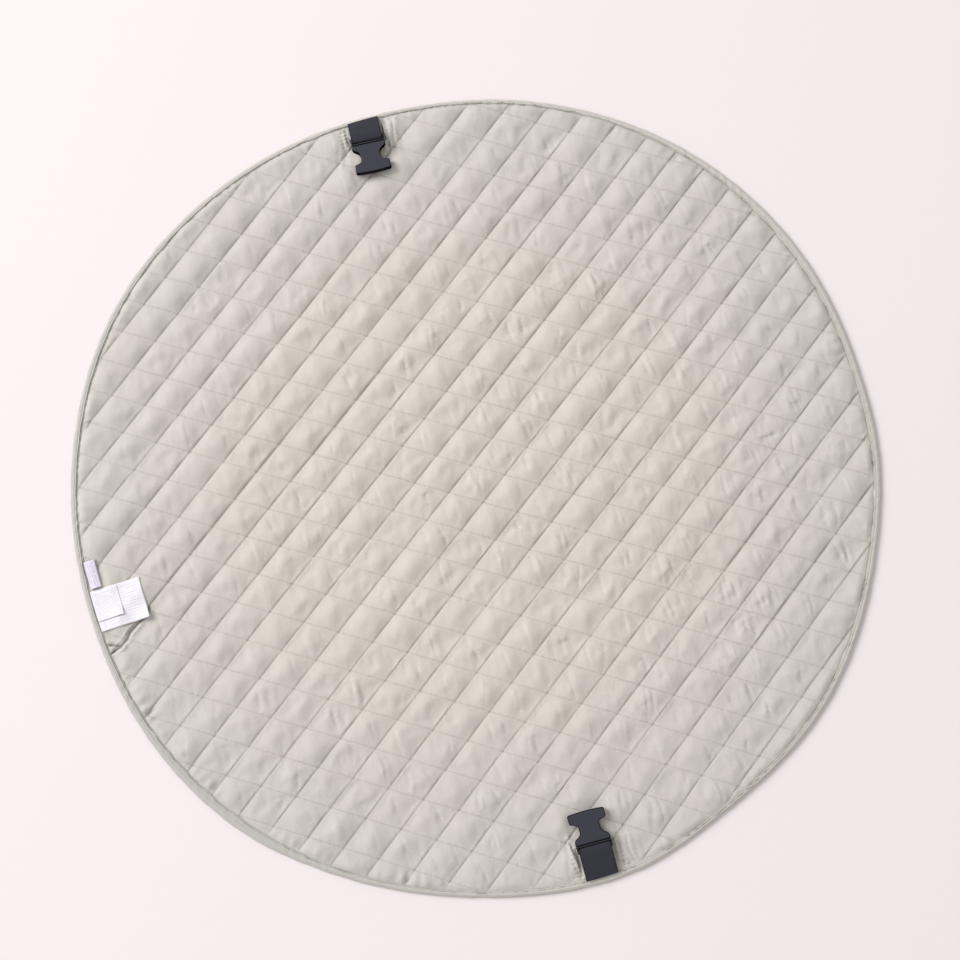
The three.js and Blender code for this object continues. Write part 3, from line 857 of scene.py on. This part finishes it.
def rim_ring(bm, inset, z, steps=720):
    """A ring of edges at an inset from the outline."""
    made = bmesh.ops.create_circle(bm, segments=steps, radius=1.0, cap_ends=False)
    for vert in made["verts"]:
        at = azimuth(vert.co.x, vert.co.y)
        radius = float(rim_value(RADIUS, at)) - inset
        vert.co = (radius * math.cos(math.radians(at)), radius * math.sin(math.radians(at)), z)
    edges = {edge for vert in made["verts"] for edge in vert.link_edges}
    return sorted(edges, key=lambda edge: edge.index)


def open_edges(bm, verts):
    kept = set(verts)
    return [edge for edge in bm.edges if edge.is_boundary and edge.verts[0] in kept]


def pinch_lines():
    """Short folds that run along Y inside the cells, more of them toward the picture's lower right."""
    draw = np.random.default_rng(53)
    found = []
    for i in range(1 - LATTICE_REACH, LATTICE_REACH - 1):
        for j in range(1 - LATTICE_REACH, LATTICE_REACH - 1):
            x, y = (float(spot[0]) for spot in lattice_point(np.array([i + 0.5]), np.array([j + 0.5])))
            rate = PINCH.rate * (0.75 + 0.6 * (x - 0.6 * y) / 500)
            for k in range(draw.poisson(max(PINCH.least, rate))):
                across = draw.uniform(*PINCH.aside)
                half = draw.uniform(*PINCH.share) * PINCH.half * (1 - abs(across) / 35)
                lean = math.radians(draw.normal(0, PINCH.lean))
                mid_x = x + across
                mid_y = y + draw.uniform(-PINCH.shift, PINCH.shift)
                dx, dy = half * math.sin(lean), half * math.cos(lean)
                bend = draw.uniform(-PINCH.bend, PINCH.bend)
                line = ((mid_x - dx, mid_y - dy), (mid_x + bend, mid_y), (mid_x + dx, mid_y + dy))
                depth = draw.uniform(*PINCH.depth)
                if inside_binding(mid_x, mid_y) > PINCH.inset:
                    found.append(Row(line=line, half=half, depth=depth))
    return found


def near_pinches(x, y, pinches):
    """Lift that the pinches give to points, and which points lie close to one."""
    lift = np.zeros_like(x)
    near = np.zeros_like(x, bool)
    for pinch in pinches:
        mid_x, mid_y = pinch.line[1]
        close = np.nonzero((np.abs(x - mid_x) < 14) & (np.abs(y - mid_y) < pinch.half + 6))[0]
        off = line_distance(x[close], y[close], (pinch.line,))
        near[close] |= off < PINCH.reach
        fading = smooth(1.25 - np.abs(y[close] - mid_y) / pinch.half)
        groove = np.exp(-((off / PINCH.width) ** 2))
        lip = PINCH.lip * np.exp(-(((off - PINCH.lip_at) / PINCH.lip_width) ** 2))
        lift[close] -= pinch.depth * (groove - lip) * fading
    return lift, near


def narrow_folds(bm):
    """Draws the narrow folds and the pinches into the upper cloth, on a finer mesh round them."""
    lines = [line for row in NARROW_FOLDS for line in row.lines]
    pinches = pinch_lines()
    for cut in range(2):
        x, y = plan(bm)
        near = line_distance(x, y, lines) < FOLD_REACH
        if cut == 0:
            near |= near_pinches(x, y, pinches)[1]
        bm.verts.index_update()
        edges = [edge for edge in bm.edges if near[edge.verts[0].index] and near[edge.verts[1].index]]
        bmesh.ops.subdivide_edges(bm, edges=edges, cuts=1, use_grid_fill=True)
    x, y = plan(bm)
    change = np.zeros_like(x)
    for row in NARROW_FOLDS:
        for line in row.lines:
            off = line_distance(x, y, (line,))
            ends = np.array(line)[[0, -1]]
            from_end = np.minimum(*(np.hypot(x - end[0], y - end[1]) for end in ends))
            fading = smooth(0.25 + from_end / 8)
            groove = row.depth * np.exp(-((off / row.width) ** 2))
            lip = row.lip * np.exp(-(((off - row.lip_at) / 2.2) ** 2))
            change += (lip - groove) * fading
    in_cell = cell_middle(seam_phase(DEEP_SEAMS, x, y), seam_phase(SHALLOW_SEAMS, x, y)) ** 0.5
    change += near_pinches(x, y, pinches)[0] * in_cell
    inside = smooth((inside_binding(x, y) - 0.5) / 3)
    for vert, lift in zip(bm.verts, change * inside):
        vert.co.z += lift


def press_down(bm):
    """Keeps the puffs low, and under the buckles and the straps that lie on them."""
    covers = []
    for place in BUCKLES:
        for part, gap in (("buckle", 0.3), ("webbing", 0.2)):
            low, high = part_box(f"{part}_{place.name}")
            covers.append((low, high, low[2] / MM - gap))
    for vert in bm.verts:
        x, y, z = vert.co
        for low, high, limit in covers:
            if low[0] / MM - 2 < x < high[0] / MM + 2 and low[1] / MM - 2 < y < high[1] / MM + 2:
                if z > limit:
                    vert.co.z = limit
        if z > PUFF_LIMIT:
            vert.co.z = PUFF_LIMIT + 0.4 * (z - PUFF_LIMIT)
        if z < LOWEST:
            vert.co.z = LOWEST


def quilted_pad():
    top = upper_cloth()
    bm = bmesh.new()
    bm.from_mesh(top.data)
    bmesh.ops.scale(bm, vec=(1 / MM, 1 / MM, 1 / MM), verts=bm.verts)
    narrow_folds(bm)
    press_down(bm)
    upper = list(bm.verts)
    bpy.data.objects.remove(top)

    under = quilted_sheet(
        UNDER_SPACING, lambda x, y: rim_value(RADIUS, azimuth(x, y)) - 14 - np.hypot(x, y),
    )
    groove = UNDER_GROOVE * (1 - np.minimum(1, 1.6 * puff_shape(*lattice_places(under)))) ** 1.5
    for vert, lift in zip(under.verts, groove):
        vert.co.z = lift
    bmesh.ops.reverse_faces(under, faces=under.faces)
    sheet = mesh_from(under, "under_cloth")
    bm.from_mesh(sheet)
    bpy.data.meshes.remove(sheet)
    known = set(upper)
    lower = [vert for vert in bm.verts if vert not in known]

    upper_edge = open_edges(bm, upper)
    lower_edge = open_edges(bm, lower)
    rings = [rim_ring(bm, inset, z) for inset, z in SIDE_RINGS]
    bmesh.ops.triangle_fill(bm, use_beauty=True, edges=upper_edge + rings[0], normal=(0, 0, 1))
    for first, second in zip(rings, rings[1:]):
        bmesh.ops.bridge_loops(bm, edges=first + second)
    bmesh.ops.triangle_fill(bm, use_beauty=True, edges=lower_edge + rings[-1], normal=(0, 0, -1))
    bmesh.ops.recalc_face_normals(bm, faces=bm.faces)

    rim_inset = bm.verts.layers.float.new("rim_inset")
    drawn_seam_shade = bm.verts.layers.float.new("drawn_seam_shade")
    x, y = plan(bm)
    # Painted shade along the drawn seams and the narrow folds, stored for the cloth's material.
    drawn = drawn_seams(x, y)[0]
    for row in NARROW_FOLDS:
        off = line_distance(x, y, row.lines)
        drawn = np.maximum(drawn, row.dark * np.exp(-((off / (0.8 * row.width)) ** 2)))
    for vert, inset, dark in zip(bm.verts, inside_binding(x, y), drawn):
        vert[rim_inset] = inset
        vert[drawn_seam_shade] = dark
    phases = zip(seam_phase(DEEP_SEAMS, x, y), seam_phase(SHALLOW_SEAMS, x, y))
    set_uv(bm, "quilting", dict(zip(bm.verts, phases)))
    return finished(bm, "quilted_pad_cloth", back_cloth)


# The binding

BINDING_SECTION = (
    # share of the width, offset, height
    (0.00, 0.00, 2.20),
    (0.00, 0.25, 3.40),
    (0.00, 0.90, 4.50),
    (0.00, 2.00, 5.40),
    (0.30, 0.90, 5.85),
    (0.52, -0.30, 6.15),
    (0.60, -0.25, 6.00),
    (0.60, 0.25, 5.72),
    (0.60, 0.75, 5.80),
    (0.60, 1.35, 6.30),
    (0.80, 0.50, 6.34),
    (1.00, -1.75, 6.05),
    (1.00, -1.35, 5.70),
    (1.00, -0.95, 5.70),
    (1.00, -0.50, 5.85),
    (1.00, -0.05, 5.45),
    (1.00, -0.30, 4.95),
    (1.00, -1.20, 4.80),
    (0.50, 0.30, 4.75),
    (0.00, 3.00, 4.10),
    (0.00, 1.80, 3.20),
    (0.00, 1.50, 2.00),
    (0.00, 2.40, 1.30),
    (0.00, 10.60, 1.20),
    (0.00, 11.00, 0.70),
    (0.00, 10.70, 0.10),
    (0.00, 2.40, 0.02),
    (0.00, 1.00, 0.40),
    (0.00, 0.25, 1.20),
)
BINDING_STEPS = 1080
BINDING_REACH = 495


def edge_binding():
    bm = bmesh.new()
    share = bm.verts.layers.float.new("share")
    offset = bm.verts.layers.float.new("offset")
    verts = []
    for part, inset, z in BINDING_SECTION:
        # The radius here only keeps the points apart. The rim's own comes after the spin.
        vert = bm.verts.new((500 - 10 * part - inset, 0, z))
        vert[share] = part
        vert[offset] = inset
        verts.append(vert)
    edges = [bm.edges.new((verts[k - 1], verts[k])) for k in range(len(verts))]
    bmesh.ops.spin(
        bm, geom=verts + edges, cent=(0, 0, 0), axis=(0, 0, 1), angle=2 * math.pi,
        steps=BINDING_STEPS, use_merge=True,
    )
    z = np.array([vert.co.z for vert in bm.verts])
    part = np.array([vert[share] for vert in bm.verts])
    inset = np.array([vert[offset] for vert in bm.verts])
    at = azimuth(*plan(bm))
    around = 2 * math.pi * BINDING_REACH
    inner = np.zeros_like(at)
    ripple = np.zeros_like(at)
    draw = np.random.default_rng(21)
    for k in range(16):
        turns = round(around / draw.uniform(14, 60))
        inner += np.sin(turns * np.radians(at) + draw.uniform(0, 6.3)) / 3
        turns = round(around / draw.uniform(7, 16))
        ripple += np.sin(turns * np.radians(at) + 3.5 * part + draw.uniform(0, 6.3)) / 3
    width = rim_value(BINDING, at) + 0.35 * inner * part
    radius = rim_value(RADIUS, at) - (part * width + inset) + 0.15 * inner * (1 - part)
    height = z + (0.20 * ripple - 0.12) * (z > 5.3)
    for vert, r, a, z in zip(bm.verts, radius, np.radians(at), height):
        vert.co = (r * math.cos(a), r * math.sin(a), z)
    bmesh.ops.recalc_face_normals(bm, faces=bm.faces)
    return finished(bm, "edge_binding_tape", binding_tape)


# Straps

# The buckle's bar that a strap loops round, the gap between parts and how far a strap runs on
# under the tape.
BAR = Row(back=-9.0, front=-5.6, low=2.6, high=6.2)
GAP = 0.3
SEWN_UNDER = 1.2


def buckle_matrix(place):
    turn = math.radians(place.faces - 90)
    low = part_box(f"buckle_{place.name}")[0]
    return Matrix.Translation((place.x, place.y, low[2] / MM)) @ Matrix.Rotation(turn, 4, "Z")


def seam_distance(matrix, side):
    """How far behind the slot the strap meets the binding, at a share of its width."""
    back = matrix.to_3x3() @ Vector((0, -1, 0))
    spot = matrix @ Vector((side * WEBBING.width, 0, 0))
    out = 0.0
    for step in range(4):
        out += float(inside_binding(spot.x + out * back.x, spot.y + out * back.y)) - GAP
    return out


def rounded_path(points, corner, steps=6):
    """A line of (along, up) points with its inner corners rounded."""
    made = [Vector(points[0])]
    for before, here, after in zip(points, points[1:], points[2:]):
        here = Vector(here)
        back = Vector(before) - here
        ahead = Vector(after) - here
        reach = min(corner, 0.45 * back.length, 0.45 * ahead.length)
        first = here + back.normalized() * reach
        last = here + ahead.normalized() * reach
        for k in range(steps + 1):
            t = k / steps
            made.append(first * (1 - t) ** 2 + here * 2 * t * (1 - t) + last * t * t)
    made.append(Vector(points[-1]))
    return made


def line_reach(points):
    """How far along a line each of its points is."""
    steps = np.linalg.norm(np.diff(points, axis=0), axis=1)
    return np.concatenate([[0], np.cumsum(steps)])


def points_at(points, reach, marks):
    return np.column_stack([np.interp(marks, reach, column) for column in points.T])


def even_line(points, pitch):
    """Points at an even pitch along a line, with their distances."""
    spots = np.array([point[:] for point in points])
    reach = line_reach(spots)
    count = max(2, int(reach[-1] / pitch))
    marks = np.linspace(0, reach[-1], count + 1)
    return points_at(spots, reach, marks), marks


def rounded(bm, edges, offset, segments):
    bmesh.ops.bevel(
        bm, geom=edges, offset=offset, offset_type="OFFSET", segments=segments, profile=0.5,
        affect="EDGES", clamp_overlap=True, material=-1,
    )


def thickened(bm, thick):
    bmesh.ops.recalc_face_normals(bm, faces=bm.faces)
    bmesh.ops.solidify(bm, geom=bm.faces[:], thickness=thick)
    bmesh.ops.recalc_face_normals(bm, faces=bm.faces)


def strap(name, line, marks, width, thick, material, matrix, across_steps=16, uv="strap", end_slope=None):
    """A flat strap along a line of (along, up) points, with rounded selvages.

    end_slope moves a point at (side, along) further along, so that the ends follow a seam."""
    count = len(line) - 1
    bm = bmesh.new()
    bmesh.ops.create_grid(bm, x_segments=count, y_segments=across_steps, size=0.5)
    places = {}
    for vert in bm.verts:
        k = round((vert.co.x + 0.5) * count)
        side = vert.co.y
        if uv == "strap":
            places[vert] = (marks[k] * MM, side * width * MM)
        else:
            places[vert] = (side + 0.5, 2 * marks[k] / marks[-1])
        moved = end_slope(side * width, line[k][0]) if end_slope else line[k][0]
        vert.co = (side * width, moved, line[k][1])
    set_uv(bm, uv, places)
    thickened(bm, thick)
    rim = [edge for edge in bm.edges if edge.calc_face_angle(0) > math.radians(60)]
    rounded(bm, rim, 0.42 * thick, 2)
    bmesh.ops.transform(bm, matrix=matrix, verts=bm.verts)
    return finished(bm, name, material)


def webbing_loop(place):
    matrix = buckle_matrix(place)
    base = matrix.translation.z
    seam = -min(seam_distance(matrix, side) for side in (-0.5, 0, 0.5))
    ends = [(side, -seam_distance(matrix, side) - SEWN_UNDER) for side in np.linspace(-0.5, 0.5, 9)]

    def follow_seam(across, along):
        own = np.interp(across / WEBBING.width, [end[0] for end in ends], [end[1] for end in ends])
        share = smooth((along - WEBBING.level) / (seam - WEBBING.level))
        return along + float(share) * (own - seam)

    seam_z = WEBBING.seam_height - base
    thick, level = WEBBING.thick, WEBBING.level
    over = BAR.high + GAP + thick / 2
    under = BAR.low - GAP - thick / 2
    front = BAR.front + GAP + thick / 2
    apart = thick + GAP
    corners = (
        (seam, seam_z + apart / 2),
        (0.5 * (seam + level), 0.45 * (seam_z + apart / 2) + 0.55 * over),
        (level, over),
        (front, over),
        (front, under),
        (level, under),
        (0.5 * (seam + level), 0.5 * (seam_z - apart / 2) + 0.5 * under),
        (seam, seam_z - apart / 2),
    )
    line, marks = even_line(rounded_path(corners, 2.4), 1.0)
    piece = strap(
        f"webbing_{place.name}_strap", line, marks, WEBBING.width, thick, webbing_weave, matrix,
        end_slope=follow_seam,
    )
    return piece, marks[-1]


# Buckles

# In the buckle's own frame: X across, Y from the slot to the mouth and Z up from its underside.
BUCKLE = Row(
    thick=9.0, back=-9.8, mouth=36.4, crown=1.2, ear=21.1, ear_end=2.8,
    shoulder=18.6, shoulder_end=7.6, waist=12.4, waist_start=15.5, waist_end=18.0,
    head=22.0, head_start=25.0, corner=2.0,
)
SLOT = Row(half=19.8, front=1.2)
RIDGE = Row(back=-1.8, front=-0.8, low=4.4, high=7.8)
LIP = Row(back=-6.5, front=1.7, low=0.1, high=0.6)
POCKET = Row(half=17.5, back=10.0, wall=1.8)
# Faces under this area, in square metres, are shaded smooth.
SMALL_FACE = 0.00002


def curve_points(points, steps):
    """Points of a Bezier curve through its control points, without the first."""
    made = []
    for k in range(1, steps + 1):
        level = [Vector(point) for point in points]
        while len(level) > 1:
            level = [a.lerp(b, k / steps) for a, b in zip(level, level[1:])]
        made.append(level[0])
    return made


def buckle_plan():
    """Right half of the buckle's outline, from the webbing end to the mouth."""
    b = BUCKLE
    runs = (
        # steps, control points after the last point
        (5, (b.ear, b.back), (b.ear, b.back + b.corner)),
        (1, (b.ear, b.ear_end)),
        (6, (b.ear - 0.3, b.shoulder_end - 1.4), (b.shoulder, b.shoulder_end)),
        (10, (b.shoulder - 3.4, b.shoulder_end + 1.4), (b.waist, b.waist_start - 4),
         (b.waist, b.waist_start)),
        (1, (b.waist, b.waist_end)),
        (10, (b.waist, b.waist_end + 5), (b.waist + 2, b.head_start - 1),
         (b.head - b.corner, b.head_start)),
        (5, (b.head, b.head_start), (b.head, b.head_start + b.corner)),
        (1, (b.head + 0.3, b.mouth - b.corner)),
        (5, (b.head, b.mouth), (b.head - b.corner, b.mouth + 0.2)),
        (8, (b.head / 2, b.mouth + b.crown), (0, b.mouth + b.crown)),
    )
    line = [Vector((b.ear - b.corner, b.back))]
    for steps, *points in runs:
        line += curve_points((line[-1], *points), steps)
    return line


def cutter(low, high):
    bm = bmesh.new()
    bmesh.ops.create_cube(bm, size=1.0)
    bmesh.ops.scale(bm, vec=[b - a for a, b in zip(low, high)], verts=bm.verts)
    bmesh.ops.translate(bm, vec=[(a + b) / 2 for a, b in zip(low, high)], verts=bm.verts)
    return finished(bm, "cutter", None, smooth_faces=False)


def cut_boxes():
    """What is cut from the buckle and set into it: the operation, and the box's two corners."""
    half, past = SLOT.half, 5.0
    return (
        ("DIFFERENCE", (-half, BUCKLE.back - past, -past), (half, SLOT.front, BUCKLE.thick + past)),
        ("UNION", (-half - 1, BAR.back, BAR.low), (half + 1, BAR.front, BAR.high)),
        ("UNION", (-half - 1, RIDGE.back, RIDGE.low), (half + 1, RIDGE.front, RIDGE.high)),
        ("UNION", (-half - 0.5, LIP.back, LIP.low), (half + 0.5, LIP.front, LIP.high)),
        ("DIFFERENCE", (-POCKET.half, POCKET.back, POCKET.wall),
         (POCKET.half, BUCKLE.mouth + past, BUCKLE.thick - POCKET.wall)),
    )


def buckle_half(place):
    half = buckle_plan()
    outline = half + [Vector((-spot.x, spot.y)) for spot in reversed(half[:-1])]
    bm = bmesh.new()
    floor = bm.faces.new([bm.verts.new((spot.x, spot.y, 0)) for spot in outline])
    grown = bmesh.ops.extrude_face_region(bm, geom=[floor])
    lifted = [part for part in grown["geom"] if isinstance(part, bmesh.types.BMVert)]
    bmesh.ops.translate(bm, vec=(0, 0, BUCKLE.thick), verts=lifted)
    bmesh.ops.recalc_face_normals(bm, faces=bm.faces)
    rims = [edge for edge in bm.edges if abs(edge.verts[0].co.z - edge.verts[1].co.z) < 1e-6]
    rounded(bm, rims, 1.3, 4)
    piece = finished(bm, f"buckle_{place.name}_half", plastic, smooth_faces=False)
    tools = []
    for operation, low, high in cut_boxes():
        tools.append(cutter(low, high))
        cut = piece.modifiers.new("cut", "BOOLEAN")
        cut.operation = operation
        cut.solver = "EXACT"
        cut.object = tools[-1]
    soft = piece.modifiers.new("soft_edges", "BEVEL")
    soft.width = 0.25 * MM
    soft.segments = 2
    soft.limit_method = "ANGLE"
    soft.angle_limit = math.radians(50)
    evaluated = piece.evaluated_get(bpy.context.evaluated_depsgraph_get())
    shaped = bpy.data.meshes.new_from_object(evaluated)
    welded = bmesh.new()
    welded.from_mesh(shaped)
    bmesh.ops.remove_doubles(welded, verts=welded.verts, dist=0.01 * MM)
    bmesh.ops.dissolve_degenerate(welded, edges=welded.edges, dist=0.005 * MM)
    welded.to_mesh(shaped)
    welded.free()
    piece.modifiers.clear()
    old = piece.data
    piece.data = shaped
    bpy.data.meshes.remove(old)
    for tool in tools:
        bpy.data.objects.remove(tool)
    matrix = buckle_matrix(place)
    shaped.transform(Matrix.Translation(matrix.translation * MM) @ matrix.to_3x3().to_4x4())
    shaped.set_sharp_from_angle(angle=math.radians(35))
    for face in shaped.polygons:
        face.use_smooth = face.area < SMALL_FACE
    return piece


# Labels

# Where each lies: low and high are places along Y, end is its free end's X and length a loop's own.
# A curl is how far the free end, the lower edge and the corner between them stand up.
CARE_LABEL = Row(low=-34.3, high=16.2, end=-422.0)
CARE_LEAF = Row(low=-21.5, high=14.5, end=-450.5)
LOOP_LABEL = Row(low=18.6, high=52.6, length=14.0)
CARE_CURL = Row(end=0.5, lower=0.7, corner=4.4)
LEAF_CURL = Row(end=0.0, lower=1.5, corner=0.4)
LEAF_THICK = 0.4


def left_seam(y):
    x = -480.0
    for step in range(4):
        x -= float(inside_binding(x, y)) - GAP
    return x


def surface_below(tree, x, y):
    hit = tree.ray_cast(Vector((x * MM, y * MM, 0.05)), Vector((0, 0, -1)))[0]
    return hit.z / MM if hit else RIM_TOP


def draped_leaf(name, size, tree, lift, curl, material):
    """A label leaf from the seam to its free end, lying on what is below it."""
    across, along = 44, 36
    bm = bmesh.new()
    bmesh.ops.create_grid(bm, x_segments=across, y_segments=along, size=0.5)
    places = {}
    heights = np.zeros((across + 1, along + 1))
    for vert in bm.verts:
        m = round((vert.co.x + 0.5) * across)
        n = round((vert.co.y + 0.5) * along)
        y = size.low + (size.high - size.low) * n / along
        start = left_seam(y)
        x = start + (size.end - start) * m / across
        places[vert] = (m, n, x, y)
        heights[m, n] = surface_below(tree, x, y)
    under = heights.copy()
    for step in range(80):
        wide = np.pad(heights, 1, mode="edge")
        near = (wide[:-2, 1:-1] + wide[2:, 1:-1] + wide[1:-1, :-2] + wide[1:-1, 2:]) / 4
        heights = np.maximum(near, under)
    for vert, (m, n, x, y) in places.items():
        u, v = m / across, n / along
        end = smooth((u - 0.6) / 0.4)
        lower = smooth((0.4 - v) / 0.4)
        stands = curl.end * end + curl.lower * lower * (0.3 + 0.7 * u) + curl.corner * end * lower
        vert.co = (x, y, heights[m, n] + lift + float(stands))
        places[vert] = (u, v)
    set_uv(bm, "print", places)
    thickened(bm, LEAF_THICK)
    return finished(bm, name, material)


def folded_label():
    """The small label: two layers from the seam, folded at their free end."""
    size = LOOP_LABEL
    middle = 0.5 * (size.low + size.high)
    seam = max(left_seam(y) for y in (size.low, middle, size.high))
    length = size.length
    corners = (
        (0.0, 6.1),
        (0.5 * length, 6.6),
        (length - 0.4, 7.0),
        (length - 0.1, 8.3),
        (length - 0.5, 9.6),
        (0.5 * length, 9.9),
        (0.0, 7.0),
    )
    line, marks = even_line(rounded_path(corners, 1.2, 4), 0.6)
    matrix = Matrix.Translation((seam, middle, 0)) @ Matrix.Rotation(-math.pi / 2, 4, "Z")
    piece = strap(
        "loop_label_satin_fold", line, marks, size.high - size.low, 0.45, loop_satin, matrix, 20,
        uv="print",
    )
    return piece, marks[-1]


# Stitches

SEAM_STITCH = Row(pitch=3.6, thick=0.5, lift=0.12)
TAPE_STITCH = Row(pitch=3.2, thick=0.6, inset=1.15, height=5.75)


def stitch_template(length, thick):
    """One stitch: a slim lozenge along X with a flat waist, in a few faces."""
    bm = bmesh.new()
    bmesh.ops.create_cone(
        bm, cap_ends=True, cap_tris=False, segments=4, radius1=0.5 * thick, radius2=0.5 * thick,
        depth=0.5 * length, matrix=Matrix.Rotation(math.pi / 2, 4, "Y"),
    )
    caps = [face for face in bm.faces if abs(face.normal.x) > 0.9]
    bmesh.ops.poke(bm, faces=caps, offset=0.25 * length)
    bmesh.ops.triangulate(bm, faces=bm.faces[:])
    mesh = mesh_from(bm, "stitch")
    spots = coordinates(mesh)
    faces = np.array([face.vertices[:] for face in mesh.polygons])
    bpy.data.meshes.remove(mesh)
    return spots, faces


def sewn_row(points, pitch):
    """Starts and ends of stitches along a line of points."""
    reach = line_reach(points)
    marks = (np.arange(int(reach[-1] / pitch)) + 0.5) * pitch
    return [points_at(points, reach, marks + shift * pitch) for shift in (-0.36, 0.36)]


def stitches(name, starts, ends, thick, material):
    """All stitches of one kind as one piece, each along its own start and end."""
    along = ends - starts
    length = np.linalg.norm(along, axis=1)
    spots, faces = stitch_template(1.0, 1.0)
    forward = along / length[:, None]
    side = np.cross(np.array([0, 0, 1.0]), forward)
    side /= np.linalg.norm(side, axis=1)[:, None]
    up = np.cross(forward, side)
    middle = 0.5 * (starts + ends)
    local = (
        spots[None, :, 0, None] * along[:, None, :]
        + spots[None, :, 1, None] * thick * side[:, None, :]
        + spots[None, :, 2, None] * 0.8 * thick * up[:, None, :]
    )
    every = (middle[:, None, :] + local).reshape(-1, 3) * MM
    joined = (faces[None, :, :] + (np.arange(len(starts)) * len(spots))[:, None, None]).reshape(-1, 3)
    mesh = bpy.data.meshes.new(name)
    mesh.from_pydata(every.tolist(), [], joined.tolist())
    mesh.validate()
    for face in mesh.polygons:
        face.use_smooth = True
    mesh.materials.append(material)
    return placed(name, mesh)


def quilting_rows(family, tree):
    """Stitches along every seam of one family, on the settled cloth."""
    starts, ends = [], []
    run = np.linspace(-LATTICE_REACH, LATTICE_REACH, 1200)
    for line in range(-LATTICE_REACH + 1, LATTICE_REACH):
        fixed = np.full_like(run, line)
        x, y = lattice_point(fixed, run) if family == "deep" else lattice_point(run, fixed)
        kept = inside_binding(x, y) > 1.0
        if kept.sum() < 8:
            continue
        x, y = x[kept], y[kept]
        z = np.array([surface_below(tree, a, b) for a, b in zip(x, y)])
        first, last = sewn_row(np.column_stack([x, y, z + SEAM_STITCH.lift]), SEAM_STITCH.pitch)
        starts.append(first)
        ends.append(last)
    starts, ends = np.concatenate(starts), np.concatenate(ends)
    return stitches(f"{family}_seam_stitches", starts, ends, SEAM_STITCH.thick, quilting_thread)


def binding_rows():
    at = np.linspace(0, 360, 2400)
    a = np.radians(at)
    radius = rim_value(RADIUS, at) - rim_value(BINDING, at) + TAPE_STITCH.inset
    height = np.full_like(at, TAPE_STITCH.height)
    points = np.column_stack([radius * np.cos(a), radius * np.sin(a), height])
    starts, ends = sewn_row(points, TAPE_STITCH.pitch)
    return stitches("binding_stitches", starts, ends, TAPE_STITCH.thick, binding_thread)


# The scene

CAMERA = Row(
    location=(-93.15, -303.4, 2046.5), aim=(4.85, 5.49, 0), image_up=(0.3024, 0.9532, 0), lens=63.8,
)
WINDOW = Row(
    azimuth=140, elevation=38, distance=9.0, size=5.6, power=735, colour=(0.99, 0.985, 1.0),
)


def set_camera():
    data = bpy.data.cameras.new("photo_camera")
    data.sensor_fit = "HORIZONTAL"
    data.sensor_width = 36.0
    data.lens = CAMERA.lens
    data.clip_end = 50
    camera = placed("photo_camera", data)
    start = Vector(CAMERA.location) * MM
    forward = (Vector(CAMERA.aim) * MM - start).normalized()
    right = forward.cross(Vector(CAMERA.image_up)).normalized()
    turn = Matrix((right, right.cross(forward), -forward)).transposed()
    camera.matrix_world = Matrix.Translation(start) @ turn.to_4x4()
    bpy.context.scene.camera = camera


def set_window():
    """The large soft light on the picture's upper left."""
    data = bpy.data.lights.new("window", "AREA")
    data.shape = "DISK"
    data.size = WINDOW.size
    data.energy = WINDOW.power
    data.color = WINDOW.colour
    light = placed("window", data)
    a, e = math.radians(WINDOW.azimuth), math.radians(WINDOW.elevation)
    away = Vector((math.cos(a) * math.cos(e), math.sin(a) * math.cos(e), math.sin(e)))
    light.location = away * WINDOW.distance
    light.rotation_euler = (-away).to_track_quat("-Z", "Y").to_euler()


def set_stage():
    bm = bmesh.new()
    bmesh.ops.create_grid(bm, x_segments=8, y_segments=8, size=4000)
    floor = finished(bm, "floor", pale_floor)
    set_window()
    world = bpy.data.worlds.new("studio")
    world.use_nodes = True
    background = world.node_tree.nodes["Background"]
    background.inputs["Color"].default_value = (1.0, 0.99, 0.975, 1)
    background.inputs["Strength"].default_value = 0.64
    bpy.context.scene.world = world
    bpy.context.scene.view_settings.view_transform = "Standard"


def declare(piece, slot, *nodes):
    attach(piece, "root")
    if nodes:
        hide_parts(*nodes)


set_camera()
set_stage()
pad = quilted_pad()
declare(pad, "back_cloth", "quilted_pad")
surface = surface_of(pad)

binding = edge_binding()
declare(binding, "binding_tape", "edge_binding")

for place in BUCKLES:
    webbing, cut = webbing_loop(place)
    declare(webbing, "webbing", f"webbing_{place.name}")
    buckle = buckle_half(place)
    declare(buckle, "buckle_plastic", f"buckle_{place.name}")

care = draped_leaf("care_label_sheet", CARE_LABEL, surface, 0.45, CARE_CURL, label_satin)
declare(care, "label_satin", "care_label")
leaf = draped_leaf("care_label_leaf_sheet", CARE_LEAF, surface_of(care), 0.3, LEAF_CURL, label_satin)
declare(leaf, "label_satin", "care_label_leaf")
loop, cut = folded_label()
declare(loop, "loop_satin", "loop_label")

for family in ("deep", "shallow"):
    declare(quilting_rows(family, surface), "back_cloth")
declare(binding_rows(), "binding_tape")
